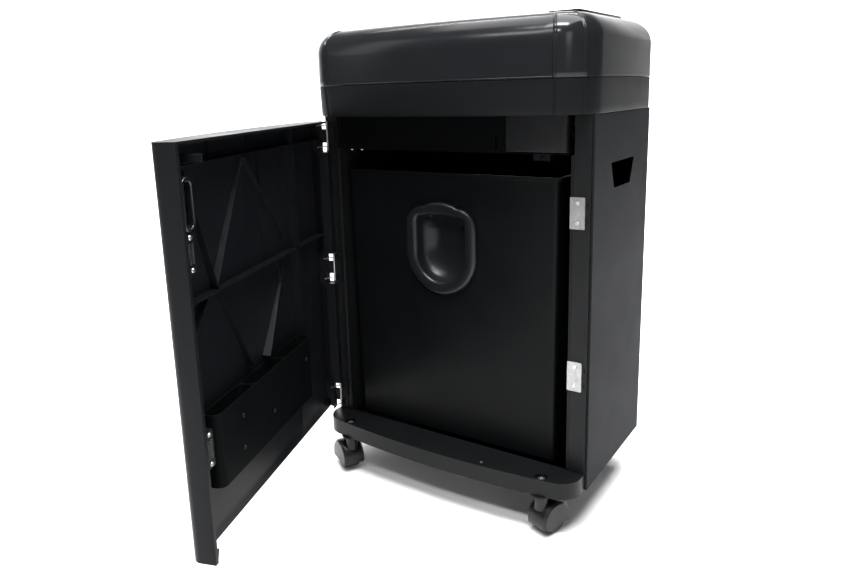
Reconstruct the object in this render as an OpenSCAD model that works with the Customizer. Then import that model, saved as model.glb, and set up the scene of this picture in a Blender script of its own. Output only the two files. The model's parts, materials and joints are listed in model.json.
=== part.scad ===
// Cabinet paper shredder on castors: a hinged door, a pull-out waste bin and a head with two cutter shafts.
// Frame: +X to the right, +Y to the back, +Z up. The origin is on the floor under the middle of the cabinet.

/* [Cabinet] */
// Width over the two side panels
cab_w = 400; // [380:1:480]
// Depth of the side panels
cab_d = 210; // [195:1:280]
// Height of the side panels
panel_h = 468; // [400:1:600]
// Gap between the floor and the side panels
floor_gap = 57; // [52:1:70]
// Thickness of the side panels
side_t = 12; // [9:0.5:16]
// Thickness of the back panel
back_t = 4; // [3:0.5:8]
// Thickness of the base
base_h = 22; // [20:1:30]
// Width of the stiles at the front of the side panels
stile_w = 27; // [22:1:34]
// Thickness of the stiles
stile_t = 3; // [2.5:0.5:5]
// Reach of the base, door and head in front of the stiles, at their corners
reach = 38; // [34:1:50]
// Extra reach in the middle of the bowed front
bow = 11; // [4:1:20]
// Radius of the base's front corners in plan
plan_r = 30; // [14:1:40]

/* [Head] */
// Height of the lower band of the head
skirt_h = 41; // [36:1:60]
// Height of the whole head
head_h = 113; // [98:1:140]
// Wall of the head's two shells
head_wall = 3; // [2:0.5:4]
// Radius of the head's front corners in plan
head_r = 57; // [48:1:64]
// Radius along the top front edge
front_r = 35; // [15:1:42]
// Radius along the top rear edge
rear_r = 45; // [15:1:50]
// Radius along the top side edges
side_r = 28; // [10:1:34]
// Length of the feed slot
slot_l = 228; // [200:1:229]
// Width of the feed slot
slot_w = 8; // [5:0.5:14]

/* [Door] */
// Angle at which the door stands open
door_open = 70.5; // [0:0.5:95]
// Thickness of the door at its edges
door_t = 30; // [28:1:44]
// Wall of the door's moulded shell
door_wall = 3; // [2:0.5:4]
// Clearance between the door and the stiles
door_gap = 2; // [1.8:0.2:4]
// Clearance above and below the door
door_end_gap = 4; // [2:0.5:8]
// Height of the pocket's front
pocket_h = 83; // [50:1:110]

/* [Bin] */
// Gap between the bin and the left stile, on the door's hinge side
bin_gap_l = 4.5; // [4:0.5:10]
// Gap between the bin and the right stile
bin_gap_r = 19.5; // [4:0.5:30]
// Gap between the bin and the fascia
bin_gap_top = 28.5; // [12:0.5:60]
// Wall of the bin
bin_wall = 2.5; // [2:0.5:4]
// Width of the handle's bezel
grip_w = 106; // [80:1:120]
// Height of the handle's bezel
grip_h = 124; // [100:1:140]
// Depth of the handle's recess
grip_deep = 26; // [15:1:35]

/* [Castors] */
// Diameter of the castor wheels
wheel_d = 40; // [32:1:42]
// Width of one castor wheel
wheel_w = 11; // [8:0.5:14]
// Offset of the axle from the swivel
trail = 14; // [8:1:16]
// Radius of the swivel stem
stem_r = 5.5; // [4:0.5:6]
// Swivel angle of the front left castor
turn_fl = 152; // [0:1:360]
// Swivel angle of the front right castor
turn_fr = 70; // [0:1:360]
// Swivel angle of the rear left castor
turn_rl = 205; // [0:1:360]
// Swivel angle of the rear right castor
turn_rr = 110; // [0:1:360]

/* [Cutters] */
// Distance between the cutter shafts, set by two 20-tooth gears of module 2
shaft_gap = 40; // [40:1:40]
// Radius of the cutter discs
disc_r = 21; // [20.5:0.1:21.4]
// Thickness of a cutter disc
disc_t = 3.7; // [3:0.1:3.8]
// Spacing of the discs on one shaft
disc_pitch = 8; // [8:0.5:12]
// Radius of the cutter shafts between the discs
core_r = 12; // [10:0.5:15]
// Radius of the shaft journals
journal_r = 7; // [6:0.5:8]

/* [Hidden] */
$fn = 48;

// Cuts run this far past the faces they pass through
over = 1;
// Clearance between neighbouring pieces that don't touch
slack = 0.3;
// Radial clearance of a pin or shaft in its bore
fit = 0.05;

// Main planes and half-widths
y_face = -cab_d / 2;
y_back = cab_d / 2;
z_base = floor_gap + base_h;
z_head = floor_gap + panel_h;
z_part = z_head + skirt_h;
z_top = z_head + head_h;
half_w = cab_w / 2;
in_w = half_w - side_t;
head_w = half_w + 1.5;
y_front = y_face - reach;

// Screws of the back panel
rear_screw_z = [z_base + 30, z_head / 2, z_head - 90];

// Fascia under the head
fascia_h = 47;
fascia_end = in_w - 20;
fascia_split = fascia_end - 80;
fascia_back = 6;
z_fascia = z_head - fascia_h;

// Grip cups in the side panels
cup_deep = 13;
cup_y = -2;
cup_top_w = 85;
cup_low_w = 60;
cup_h = 31;
cup_z = z_head - 61;

// Shelf that carries the cutter unit
shelf_t = 3;
z_shelf = z_head - 13;

// Door, drawn closed and then swung about its hinge pins
hinge_x = -half_w + 10;
hinge_y = y_face - door_gap - 4;
knuckle_r = 3.4;
pin_r = 1.8;
hinge_h = 40;
hinge_z = [z_base + 25, floor_gap + 0.53 * panel_h, z_head - 28];
door_x0 = hinge_x - 3.5;
door_x1 = half_w - 2;
y_door = y_face - door_gap;
z_door0 = z_base + door_end_gap;
z_door1 = z_head - door_end_gap - 3;
strip_w = 5;
post_w = 16;
liner_t = 2;
liner_y = y_door - door_t + 8;
rib_t = 2.4;
rib_deep = 11;
door_in0 = door_x0 + post_w;
door_in1 = door_x1 - strip_w;

// Strike plates on the right stile and the catches that meet them
strike_w = 18.5;
strike_h = 38;
strike_z = [floor_gap + 151, floor_gap + 354];
strike_x = in_w - 6;
plate_t = 1.2;

// Pocket on the door
pocket_x0 = hinge_x + 108;
pocket_x1 = door_in1 - 24;
pocket_wall = 2.5;
pocket_r = 10;
z_pocket = z_base + 74;
pocket_cells = 3;

// Bin
bin_w = cab_w - 2 * stile_w - bin_gap_l - bin_gap_r;
bin_x = (bin_gap_l - bin_gap_r) / 2;
bin_y0 = y_face + 12;
bin_y1 = y_back - back_t - 6;
bin_z0 = z_base + 0.5;
bin_h = z_fascia - bin_gap_top - bin_z0;
bin_r = 6;
rim = 2.5;
grip_x = bin_x - 6;
grip_z = bin_z0 + bin_h - 102;
bezel_w = 14;
bezel_t = 5;
grip_wall = 2;

// Castors
castor_x = half_w - 47;
castor_y = [y_face - 30, y_back - 34];
guard_gap = 1.5;
guard_t = 2.5;
web_w = 5;
axle_r = 2.5;
socket_r = 8;
socket_h = 13;

// Cutter unit
cut_x = 118;
plate_w = 4;
cut_z = z_head + 30;
nip_y = -10;
front_y = nip_y - shaft_gap / 2;
rear_y = nip_y + shaft_gap / 2;
bush_r = journal_r + 2.5;
disc_span = 2 * cut_x - 12;
disc_n = floor((disc_span - disc_t) / disc_pitch);
gear_m = 2;
gear_z = 20;
gear_w = 8;
small_z = 14;
big_m = 1.5;
big_z = 48;
pinion_z = 12;
gear_x = cut_x + plate_w + 2;
big_x = gear_x + gear_w + 2;
idler_y = rear_y + 30;
idler_z = cut_z + 16;
motor_y = idler_y + 36;
motor_z = idler_z - 27;
motor_r = 25;
motor_l = 116;
stub_r = 5;

// Mains rocker in the rear wall of the head, leaning by rocker_turn at rest
rocker_y = y_back - 11;
rocker_z = z_head + 19;
rocker_turn = 8;

// Controls on the raised pod
pod_x = half_w - 50;
pod_w = 40;
pod_y0 = y_face + 24;
pod_l = 151;
pod_h = 4.5;
button_y = [pod_y0 + 34, pod_y0 + 62, pod_y0 + 90];
button_l = 20;
button_w = 18;
button_travel = 2;

/* ---------- helpers ---------- */

// Points of an arc about c from angle a0 to a1
function arc(c, r, a0, a1, n) =
    [for (i = [0:n]) let (a = a0 + (a1 - a0) * i / n) [c[0] + r * cos(a), c[1] + r * sin(a)]];

// Bowed front between two corners, deepest in the middle
function bowed(x0, x1, y, deep, n) =
    [for (i = [1:n - 1]) let (k = 2 * i / n - 1) [x0 + (x1 - x0) * i / n, y - deep * (1 - k * k)]];

// Plan outline with a bowed front; r rounds the front corners and rr the rear ones
function plan(x0, x1, y0, y1, deep, r, rr) = concat(
    arc([x1 - r, y0 + r], r, 0, -83, 8),
    bowed(x1 - r, x0 + r, y0, deep, 18),
    arc([x0 + r, y0 + r], r, -97, -180, 8),
    arc([x0 + rr, y1 - rr], rr, 180, 90, 4),
    arc([x1 - rr, y1 - rr], rr, 90, 0, 4));

// Rounded rectangle from (x0, y0) to (x1, y1)
function rounded(x0, y0, x1, y1, r, n = 6) = concat(
    arc([x1 - r, y1 - r], r, 0, 90, n),
    arc([x0 + r, y1 - r], r, 90, 180, n),
    arc([x0 + r, y0 + r], r, 180, 270, n),
    arc([x1 - r, y0 + r], r, 270, 360, n));

// Box from one corner to the opposite one
module block(a, b) {
    translate(a) cube([b[0] - a[0], b[1] - a[1], b[2] - a[2]]);
}

// Extrudes a drawing of (x, z) points along Y, from y0 to y1
module along_y(y0, y1) {
    translate([0, y1, 0]) rotate([90, 0, 0]) linear_extrude(y1 - y0) children();
}

// Extrudes a drawing of (y, z) points along X, from x0 to x1
module along_x(x0, x1) {
    translate([x0, 0, 0]) rotate([90, 0, 90]) linear_extrude(x1 - x0) children();
}

// Cylinder along X
module rod_x(x0, x1, y, z, r) {
    translate([x0, y, z]) rotate([0, 90, 0]) cylinder(h = x1 - x0, r = r);
}

// Places the door's pieces, drawn closed, at the angle where the door stands
module swung() {
    translate([hinge_x, hinge_y, 0]) rotate([0, 0, -door_open]) translate([-hinge_x, -hinge_y, 0]) children();
}

// Domed screw head with a cross recess, facing +Z
module screw_head(r, h) {
    difference() {
        cylinder(h = h, r1 = r, r2 = r * 0.8, $fn = 24);
        translate([0, 0, h]) cube([r * 1.1, r * 0.3, h], center = true);
        translate([0, 0, h]) cube([r * 0.3, r * 1.1, h], center = true);
    }
}

// Involute of a base circle, at roll angle t in degrees
function involute(rb, t) = [rb * (cos(t) + t * PI / 180 * sin(t)), rb * (sin(t) - t * PI / 180 * cos(t))];
function turned(p, a) = [p[0] * cos(a) - p[1] * sin(a), p[0] * sin(a) + p[1] * cos(a)];
// Roll angle at which the involute of rb reaches radius r
function roll(rb, r) = r <= rb ? 0 : sqrt(pow(r / rb, 2) - 1) * 180 / PI;
function inv_angle(rb, r) = let (t = roll(rb, r)) t - atan(t * PI / 180);
// Right flank of a tooth centred on angle 0, from root to tip
function flank(m, z, play) = let (rp = m * z / 2, rb = rp * cos(20), ra = rp + 0.94 * m,
        half = 90 / z - play / rp * 90 / PI + inv_angle(rb, rp), t0 = roll(rb, max(rb, rp - m)), t1 = roll(rb, ra))
    concat([turned([rp - 1.25 * m, 0], -half)], [for (i = [0:4]) turned(involute(rb, t0 + (t1 - t0) * i / 4), -half)]);
function mirrored(pts) = [for (i = [len(pts) - 1:-1:0]) [pts[i][0], -pts[i][1]]];
function gear_points(m, z, play) = let (side = flank(m, z, play), tooth = concat(side, mirrored(side)))
    [for (k = [0:z - 1]) for (p = tooth) turned(p, 360 * k / z)];

// Spur gear in the YZ plane; a tooth stands at angle a, counted from +Y towards +Z
module spur(m, z, w, a, play = 0.12) {
    rotate([a, 0, 0]) rotate([90, 0, 90]) linear_extrude(w) polygon(gear_points(m, z, play));
}

// Tooth angle of a gear that meshes with one whose tooth stands at a1; b is the direction towards it
function mesh_angle(a1, b, z1, z2) = b + 180 - (a1 - b) * z1 / z2 - 180 / z2;

/* ---------- cabinet ---------- */

module side_panel(s) {
    x0 = min(s * half_w, s * in_w);
    color("#2c2d2f") difference() {
        block([x0, y_face + stile_t, floor_gap], [x0 + side_t, y_back, z_head]);
        along_x(x0 - over, x0 + side_t + over) polygon(cup_outline(0));
    }
}

// Grip opening: an inverted trapezoid, drawn as (y, z) points
function cup_outline(inset) = [
    [cup_y - cup_low_w / 2 + inset, cup_z - cup_h + inset], [cup_y + cup_low_w / 2 - inset, cup_z - cup_h + inset],
    [cup_y + cup_top_w / 2 - inset, cup_z - inset], [cup_y - cup_top_w / 2 + inset, cup_z - inset]];

module grip_cup(s) {
    deep = side_t + cup_deep;
    rotate([0, 0, s > 0 ? 0 : 180]) translate([0, s > 0 ? 0 : -2 * cup_y, 0]) difference() {
        union() {
            along_x(half_w - deep, half_w - 0.2) polygon(cup_outline(0.1));
            along_x(in_w - 2, in_w - 0.05) polygon(cup_outline(-4));
        }
        hull() {
            along_x(half_w - 1, half_w + over) polygon(cup_outline(2));
            along_x(half_w - deep + 2, half_w - deep + 3) translate([0, 3]) polygon(cup_outline(9));
        }
    }
}

module grip_cups() {
    color("#1f2022") {
        grip_cup(1);
        grip_cup(-1);
    }
}

module base_plate() {
    color("#26272a") difference() {
        union() {
            translate([0, 0, floor_gap]) linear_extrude(base_h)
                polygon(plan(-half_w + 3, half_w - 3, y_front, y_face + stile_t - slack, bow, plan_r, 1));
            block([-in_w, y_face, floor_gap], [in_w, y_back - back_t, z_base]);
        }
        for (s = [-1, 1], y = castor_y) translate([s * castor_x, y, 0]) {
            translate([0, 0, floor_gap - over]) cylinder(h = socket_h + over, r = socket_r);
            translate([0, 0, floor_gap]) cylinder(h = base_h + over, r = 2.6);
            translate([0, 0, z_base - 5]) cylinder(h = 5 + over, r = 8);
        }
        translate([71.5, y_front - bow + 12, z_base - 1.6]) cylinder(h = 1.6 + over, r = 2.9);
        for (s = [-1, 1]) block([min(s * half_w, s * in_w) - slack, y_face + stile_t - slack, floor_gap - over],
                                [max(s * half_w, s * in_w) + slack, y_back + over, z_base + over]);
    }
}

module back_panel() {
    color("#2a2b2d") difference() {
        block([-in_w, y_back - back_t, floor_gap], [in_w, y_back, z_head]);
        for (s = [-1, 1], z = rear_screw_z) translate([s * (in_w - 7), y_back - 1.6, z])
            rotate([-90, 0, 0]) cylinder(h = 1.6 + over, r = 3.3);
        // row of cooling slots below the head
        for (i = [-6:6]) along_y(y_back - back_t - over, y_back + over)
            polygon(rounded(i * 14 - 2, z_head - 59, i * 14 + 2, z_head - 25, 1.9, 3));
    }
}

// Stile: a front strip with a return that lies against the side panel
module stile(s) {
    x_in = half_w - stile_w;
    color("#222326") mirror([s > 0 ? 0 : 1, 0, 0]) difference() {
        union() {
            block([x_in, y_face, z_base], [half_w - 2.5, y_face + stile_t, z_head]);
            block([x_in, y_face, z_base], [in_w, y_face + 40, z_head]);
            // bead along the inner edge
            translate([x_in + 2.4, y_face, z_base]) cylinder(h = z_fascia - z_base, r = 0.9, $fn = 16);
        }
        // step beside the head's fascia, where the door's interlock tab enters
        block([x_in - over, y_face - over, z_fascia], [x_in + 4, y_face + 41, z_head + over]);
        // hollow behind the front strip
        block([x_in + 4 + stile_t, y_face + stile_t + over, z_base + 4],
              [in_w - stile_t, y_face + 41, z_head - 4]);
        if (s > 0) for (z = strike_z) {
            block([x_in - over, y_face - 2, z - strike_h / 2 - slack],
                  [half_w, y_face, z + strike_h / 2 + slack]);
            for (k = [-10, 10])
                block([half_w - 6.5, y_face - over, z + k - 2.5], [half_w - 4, y_face + 1.5, z + k + 2.5]);
        }
    }
}

module chassis_shelf() {
    color("#8d9093") difference() {
        block([-in_w, y_face + 12, z_shelf], [in_w, y_back - back_t, z_shelf + shelf_t]);
        block([-cut_x + 8, front_y - 26, z_shelf - over], [cut_x - 8, rear_y + 26, z_shelf + shelf_t + over]);
        // room for the stiles and the interlock
        block([fascia_end - 2, y_face, z_shelf - over], [half_w, y_face + 44, z_shelf + shelf_t + over]);
        block([-half_w, y_face, z_shelf - over],
              [-half_w + stile_w + slack, y_face + 41, z_shelf + shelf_t + over]);
    }
}

module fascia_panel() {
    color("#141518") difference() {
        union() {
            block([-half_w + stile_w + 0.5, y_face + fascia_back, z_fascia],
                  [fascia_split, y_face + fascia_back + 3, z_head]);
            block([-half_w + stile_w + 0.5, y_face + fascia_back, z_fascia],
                  [fascia_end, y_face + fascia_back + 30, z_fascia + 2.5]);
        }
        block([fascia_split - 17, y_face, z_fascia + 4], [fascia_split - 14.5, y_face + 20, z_fascia + 21]);
    }
}

module fascia_cover() {
    r = 9;
    color("#2a2b2e") difference() {
        translate([0, 0, z_fascia + 2.8]) linear_extrude(fascia_h - 2.8) difference() {
            polygon(concat([[fascia_split + slack, y_face + 40], [fascia_split + slack, y_face + 0.8]],
                           arc([fascia_end - r, y_face + 0.8 + r], r, -90, 0, 6), [[fascia_end, y_face + 40]]));
            polygon([[fascia_split + 2.8, y_face + 41], [fascia_split + 2.8, y_face + 3.3],
                     [fascia_end - r, y_face + 3.3], [fascia_end - 2.5, y_face + 3 + r], [fascia_end - 2.5, y_face + 41]]);
        }
        block([fascia_split - over, y_face + 12, z_shelf - slack],
              [fascia_end + over, y_face + 41, z_head + over]);
        block([fascia_end - 4, y_face + 13.5, z_fascia + 19.5],
              [fascia_end + over, y_face + 20.5, z_fascia + 26.5]);
    }
}

// Sensor under the fascia that feels the bin
module bin_sensor() {
    color("#303236") {
        block([fascia_split + 30, y_face + 16, z_fascia - 9],
              [fascia_split + 52, y_face + 34, z_fascia - 0.05]);
        translate([fascia_split + 41, y_face + 16, z_fascia - 5]) rotate([90, 0, 0]) screw_head(2.6, 1.6);
    }
}

module strike_plates() {
    color("#c9cacb") for (z = strike_z) difference() {
        along_y(y_face - plate_t, y_face)
            polygon(rounded(strike_x - strike_w / 2, z - strike_h / 2, strike_x + strike_w / 2, z + strike_h / 2, 1, 3));
        for (k = [-12, 12]) translate([strike_x, y_face - plate_t / 2, z + k])
            rotate([90, 0, 0]) cylinder(h = plate_t + over, r = 1.6, center = true);
    }
}

module cabinet_screws() {
    color("#b8b9ba") {
        for (s = [-1, 1], y = castor_y) translate([s * castor_x, y, z_base - 5]) screw_head(5.2, 2.6);
        translate([71.5, y_front - bow + 12, z_base - 1.6]) screw_head(2.6, 1.4);
        for (z = strike_z, k = [-12, 12]) translate([strike_x, y_face - plate_t, z + k])
            rotate([90, 0, 0]) screw_head(2.4, 0.6);
        for (x = [-half_w + 38, -half_w + 56]) translate([x, y_face + fascia_back + 8, z_fascia])
            rotate([180, 0, 0]) screw_head(2.6, 1.6);
        for (s = [-1, 1], z = rear_screw_z) translate([s * (in_w - 7), y_back - 1.6, z])
            rotate([-90, 0, 0]) screw_head(3, 1.4);
    }
}

// Fixed leaves with their pins: two outer knuckles each
module cabinet_hinges() {
    color("#b4b6b8") for (z = hinge_z) {
        for (k = [-1, 1]) translate([0, 0, z + k * (hinge_h / 2 - hinge_h / 8)]) {
            difference() {
                union() {
                    translate([hinge_x, hinge_y, 0]) cylinder(h = hinge_h / 4, r = knuckle_r, center = true);
                    block([hinge_x - 0.7, hinge_y, -hinge_h / 8], [hinge_x + 0.7, y_face, hinge_h / 8]);
                }
                translate([hinge_x, hinge_y, 0]) cylinder(h = hinge_h, r = pin_r, center = true);
            }
        }
        block([hinge_x - 0.7, y_face - plate_t, z - hinge_h / 2], [hinge_x + 9, y_face, z + hinge_h / 2]);
        translate([hinge_x, hinge_y, z]) cylinder(h = hinge_h + 2, r = pin_r, center = true);
    }
}

module castor_sockets() {
    color("#8f9294") for (s = [-1, 1], y = castor_y) translate([s * castor_x, y, floor_gap]) difference() {
        union() {
            translate([0, 0, -2]) cylinder(h = 2, r = 14);
            translate([0, 0, -2]) cylinder(h = 2 + socket_h, r = socket_r);
        }
        translate([0, 0, -3]) cylinder(h = 2 + socket_h, r = stem_r + fit);
    }
}

/* ---------- castors ---------- */

// Places a castor drawn at its swivel axis, with its trail along +X
module at_castor(s, y, turn) {
    translate([s * castor_x, y, 0]) rotate([0, 0, turn]) children();
}

module castor_hood() {
    r = wheel_d / 2;
    half = web_w / 2 + wheel_w + 2.6;
    top = floor_gap - 4.5;
    cut = 7;
    color("#232427") difference() {
        union() {
            // closed cover over both wheels, cut off below the axle
            translate([trail, 0, r]) rotate([90, 0, 0]) difference() {
                union() {
                    cylinder(h = 2 * half - 6, r = r + guard_gap + guard_t, center = true);
                    for (s = [-1, 1]) mirror([0, 0, s > 0 ? 0 : 1]) translate([0, 0, half - 3])
                        cylinder(h = 3, r1 = r + guard_gap + guard_t, r2 = r + guard_gap + guard_t - 3);
                }
                translate([-2 * r, -2 * r - cut, -half - over]) cube([4 * r, 2 * r, 2 * half + 2 * over]);
            }
            translate([0, 0, r + 15]) cylinder(h = top - r - 15, r = 8.5);
            translate([0, 0, top - 1]) cylinder(h = floor_gap + socket_h - 3 - top, r = stem_r);
        }
        translate([trail, 0, r]) rotate([90, 0, 0])
            cylinder(h = web_w + over, r = axle_r + fit, center = true);
        // room for the two wheels under the cover
        for (s = [-1, 1]) translate([trail, s * (web_w / 2 + wheel_w / 2 + 0.4), r]) rotate([90, 0, 0])
            cylinder(h = wheel_w + 0.8, r = r + guard_gap, center = true);
    }
}

module castor_wheels() {
    r = wheel_d / 2;
    color("#2b2c2f") {
        for (s = [-1, 1]) translate([trail, s * (web_w / 2 + 0.2), r]) rotate([90 * -s, 0, 0]) rotate_extrude()
            polygon([[axle_r, 0], [r - 1.5, 0], [r, 1.5], [r, wheel_w - 4], [r - 2.5, wheel_w - 1],
                     [r - 7, wheel_w], [7, wheel_w], [5.5, wheel_w - 1.5], [axle_r, wheel_w - 1.5]]);
        translate([trail, 0, r]) rotate([90, 0, 0])
            cylinder(h = web_w + 2 * wheel_w - 3, r = axle_r, center = true);
    }
}

/* ---------- head ---------- */

// Angles of the points on a front corner, from the front towards the side; the corner trim lies between
// the grooves at 19 and 60 degrees
corner_a = [8, 13.5, 18.85, 19.15, 29, 39.5, 50, 59.85, 60.15, 70, 80, 90];
trim_first = 3;
trim_last = 7;
rear_plan_r = 14;
flat_r = 6;
front_n = 12;
corner_n = len(corner_a);
rear_n = 5;

// A rim point: [outline, outward normal, matching point of the flat top, radius of the edge between them]
function front_corner(s) = [for (i = [0:corner_n - 1]) let (a = corner_a[s > 0 ? i : corner_n - 1 - i],
        n = [s * sin(a), -cos(a)], p = [s * (head_w - head_r), y_front + head_r] + head_r * n,
        h = front_r + (side_r - front_r) * a / 90) [p, n, p - h * n, h]];
function rear_corner(s) = [for (i = [0:rear_n - 1]) let (k = i / (rear_n - 1), a = 90 * (s > 0 ? k : 1 - k),
        n = [s * cos(a), sin(a)]) [[s * (head_w - rear_plan_r), y_back + 1 - rear_plan_r] + rear_plan_r * n, n,
        [s * (head_w - side_r - flat_r), y_back + 1 - rear_r - flat_r] + flat_r * n,
        side_r + (rear_r - side_r) * a / 90]];
function front_run(e, y) = [for (i = [1:front_n - 1]) let (k = 2 * i / front_n - 1, m = [2 * bow * k / e, -1],
        n = m / norm(m), p = [k * e, y - bow * (1 - k * k)]) [p, n, p - front_r * n, front_r]];
head_ring = concat(front_corner(1), rear_corner(1), rear_corner(-1), front_corner(-1),
    front_run(head_w - head_r * (1 - sin(corner_a[0])), y_front + head_r * (1 - cos(corner_a[0]))));
ring_n = len(head_ring);
left_0 = corner_n + 2 * rear_n;

// Rows of the hood's shell: six round the edge and one at the parting line; g grows the outside
function outer_row(k, g) = [for (e = head_ring) let (a = min(18 * k, 90), p = e[2] + (e[0] + g * e[1] - e[2]) * sin(a))
    [p[0], p[1], k == 6 ? z_part : z_top + g * cos(a) - e[3] * (1 - cos(a))]];
function inner_row(k) = [for (e = head_ring) let (a = min(18 * k, 90), p = e[2] + (e[0] - head_wall * e[1] - e[2]) * sin(a))
    [p[0], p[1], k == 6 ? z_part : z_top - head_wall - (e[3] - head_wall) * (1 - cos(a))]];
function ro(k, i) = k * ring_n + i % ring_n;
function ri(k, i) = (7 + k) * ring_n + i % ring_n;
function quad(a, b, c, d) = [[a, b, c], [a, c, d]];

// Faces of a strip of the shell between two rim points
function strip(a, b) = concat(
    [for (i = [a:b - 1], k = [0:5]) each quad(ro(k, i), ro(k, i + 1), ro(k + 1, i + 1), ro(k + 1, i))],
    [for (i = [a:b - 1], k = [0:5]) each quad(ri(k, i), ri(k + 1, i), ri(k + 1, i + 1), ri(k, i + 1))],
    [for (i = [a:b - 1]) each quad(ro(6, i), ro(6, i + 1), ri(6, i + 1), ri(6, i))],
    [for (k = [0:5]) each quad(ro(k, a), ro(k + 1, a), ri(k + 1, a), ri(k, a))],
    [for (k = [0:5]) each quad(ro(k, b), ri(k, b), ri(k + 1, b), ro(k + 1, b))]);

module shell(faces, g) {
    polyhedron(points = concat([for (k = [0:6]) each outer_row(k, g)], [for (k = [0:6]) each inner_row(k)]),
               faces = faces);
}

module hood_shell() {
    gaps = [[trim_first - 1, trim_last + 1], [left_0 + corner_n - 2 - trim_last, left_0 + corner_n - trim_first]];
    shell(concat(strip(gaps[0][1], gaps[1][0]), strip(gaps[1][1], ring_n + gaps[0][0]),
        [for (g = gaps, i = [g[0]:g[1] - 1]) each quad(ro(0, i), ro(0, i + 1), ri(0, i + 1), ri(0, i))],
        [[for (i = [ring_n - 1:-1:0]) ro(0, i)], [for (i = [0:ring_n - 1]) ri(0, i)]]), 0);
}

module head_hood() {
    color("#303134") difference() {
        hood_shell();
        block([-slot_l / 2 - 8 - slack, nip_y - slot_w / 2 - 9 - slack, z_top - 20],
              [slot_l / 2 + 8 + slack, nip_y + slot_w / 2 + 9 + slack, z_top + 9]);
        for (y = button_y) block([pod_x - button_w / 2 - 3, y - button_l / 2 - 3, z_top - 20],
                                 [pod_x + button_w / 2 + 3, y + button_l / 2 + 3, z_top + 9]);
    }
}

module corner_trim(s) {
    a = s > 0 ? trim_first : left_0 + corner_n - 1 - trim_last;
    b = a + trim_last - trim_first;
    color("#3a3b3e") shell(concat(strip(a, b),
        [for (i = [a:b - 1]) each quad(ro(0, i), ri(0, i), ri(0, i + 1), ro(0, i + 1))]), 0.6);
}

// Lower band: walls, and a floor under the part that stands ahead of the cabinet
module head_skirt() {
    color("#242528") difference() {
        translate([0, 0, z_head]) linear_extrude(skirt_h - slack) polygon([for (e = head_ring) e[0]]);
        translate([0, 0, z_head + head_wall]) linear_extrude(skirt_h)
            polygon([for (e = head_ring) e[0] - head_wall * e[1]]);
        block([-in_w + 6, y_face + 8, z_head - over],
              [in_w - 6, y_back - back_t - 4, z_head + head_wall + over]);
        // mains inlet and rocker switch in the rear wall
        block([-134, y_back - 6, z_head + 9], [-106, y_back + 6, z_head + 29]);
        block([-96, y_back - 6, z_head + 9], [-74, y_back + 6, z_head + 29]);
    }
}

module control_pod() {
    color("#1b1c1f") difference() {
        translate([0, 0, z_top]) linear_extrude(pod_h)
            polygon(rounded(pod_x - pod_w / 2, pod_y0, pod_x + pod_w / 2, pod_y0 + pod_l, 6));
        for (y = button_y) block([pod_x - button_w / 2 - slack, y - button_l / 2 - slack, z_top - over],
                                 [pod_x + button_w / 2 + slack, y + button_l / 2 + slack, z_top + pod_h + over]);
        for (k = [-1, 0, 1]) translate([pod_x + k * 9, pod_y0 + 14, z_top + pod_h - 4])
            cylinder(h = 5, r = 2.3, $fn = 24);
    }
}

module status_lenses() {
    color("#9fc7a4") for (k = [-1, 0, 1]) translate([pod_x + k * 9, pod_y0 + 14, z_top + pod_h - 4])
        cylinder(h = 4.5, r = 2.25, $fn = 24);
}

// Button cap with a stem that reaches into the head
module button(y) {
    color("#3b3c40") {
        translate([0, 0, z_top + pod_h - 4]) linear_extrude(4 + button_travel) polygon(
            rounded(pod_x - button_w / 2, y - button_l / 2, pod_x + button_w / 2, y + button_l / 2, 3));
        translate([pod_x, y, z_top - 10]) cylinder(h = pod_h + 6, r = 4);
    }
}

// Funnel from the feed slot down to the cutters
module throat_liner() {
    x0 = slot_l / 2;
    y0 = slot_w / 2;
    z0 = cut_z + disc_r + 3;
    color("#17181b") translate([0, nip_y, 0]) difference() {
        union() {
            block([-x0 - 8, -y0 - 9, z_top - 3], [x0 + 8, y0 + 9, z_top + 1.5]);
            block([-x0 - 3, -y0 - 3, z0], [x0 + 3, y0 + 3, z_top]);
        }
        block([-x0, -y0, z0 - over], [x0, y0, z_top + 9]);
        along_x(-x0, x0) polygon([[-y0 - 6, z_top + 2], [-y0, z_top - 6], [y0, z_top - 6], [y0 + 6, z_top + 2]]);
    }
}

module power_inlet() {
    yb = y_back + 1;
    color("#101113") difference() {
        union() {
            block([-136, yb, z_head + 7], [-104, yb + 2, z_head + 31]);
            block([-133.8, yb - 22, z_head + 9.2], [-106.2, yb, z_head + 28.8]);
        }
        block([-131.5, yb - 17, z_head + 11.5], [-108.5, yb + 3, z_head + 26.5]);
    }
    color("#b9bbbd") for (k = [-7, 0, 7]) block([-121, yb - 18, z_head + 17.5 + (k == 0 ? 2 : 0)] + [k, 0, 0],
                                                [-119, yb - 2, z_head + 21.5 + (k == 0 ? 2 : 0)] + [k, 0, 0]);
}

// Mains rocker and its frame axis along X
module power_rocker() {
    color("#0e0f10") translate([0, rocker_y, rocker_z]) rotate([-rocker_turn, 0, 0]) intersection() {
        rod_x(-95.7, -74.3, 0, 0, 13.2);
        block([-96, 8, -7], [-74, 15, 7]);
    }
}

/* ---------- cutter unit ---------- */

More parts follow.
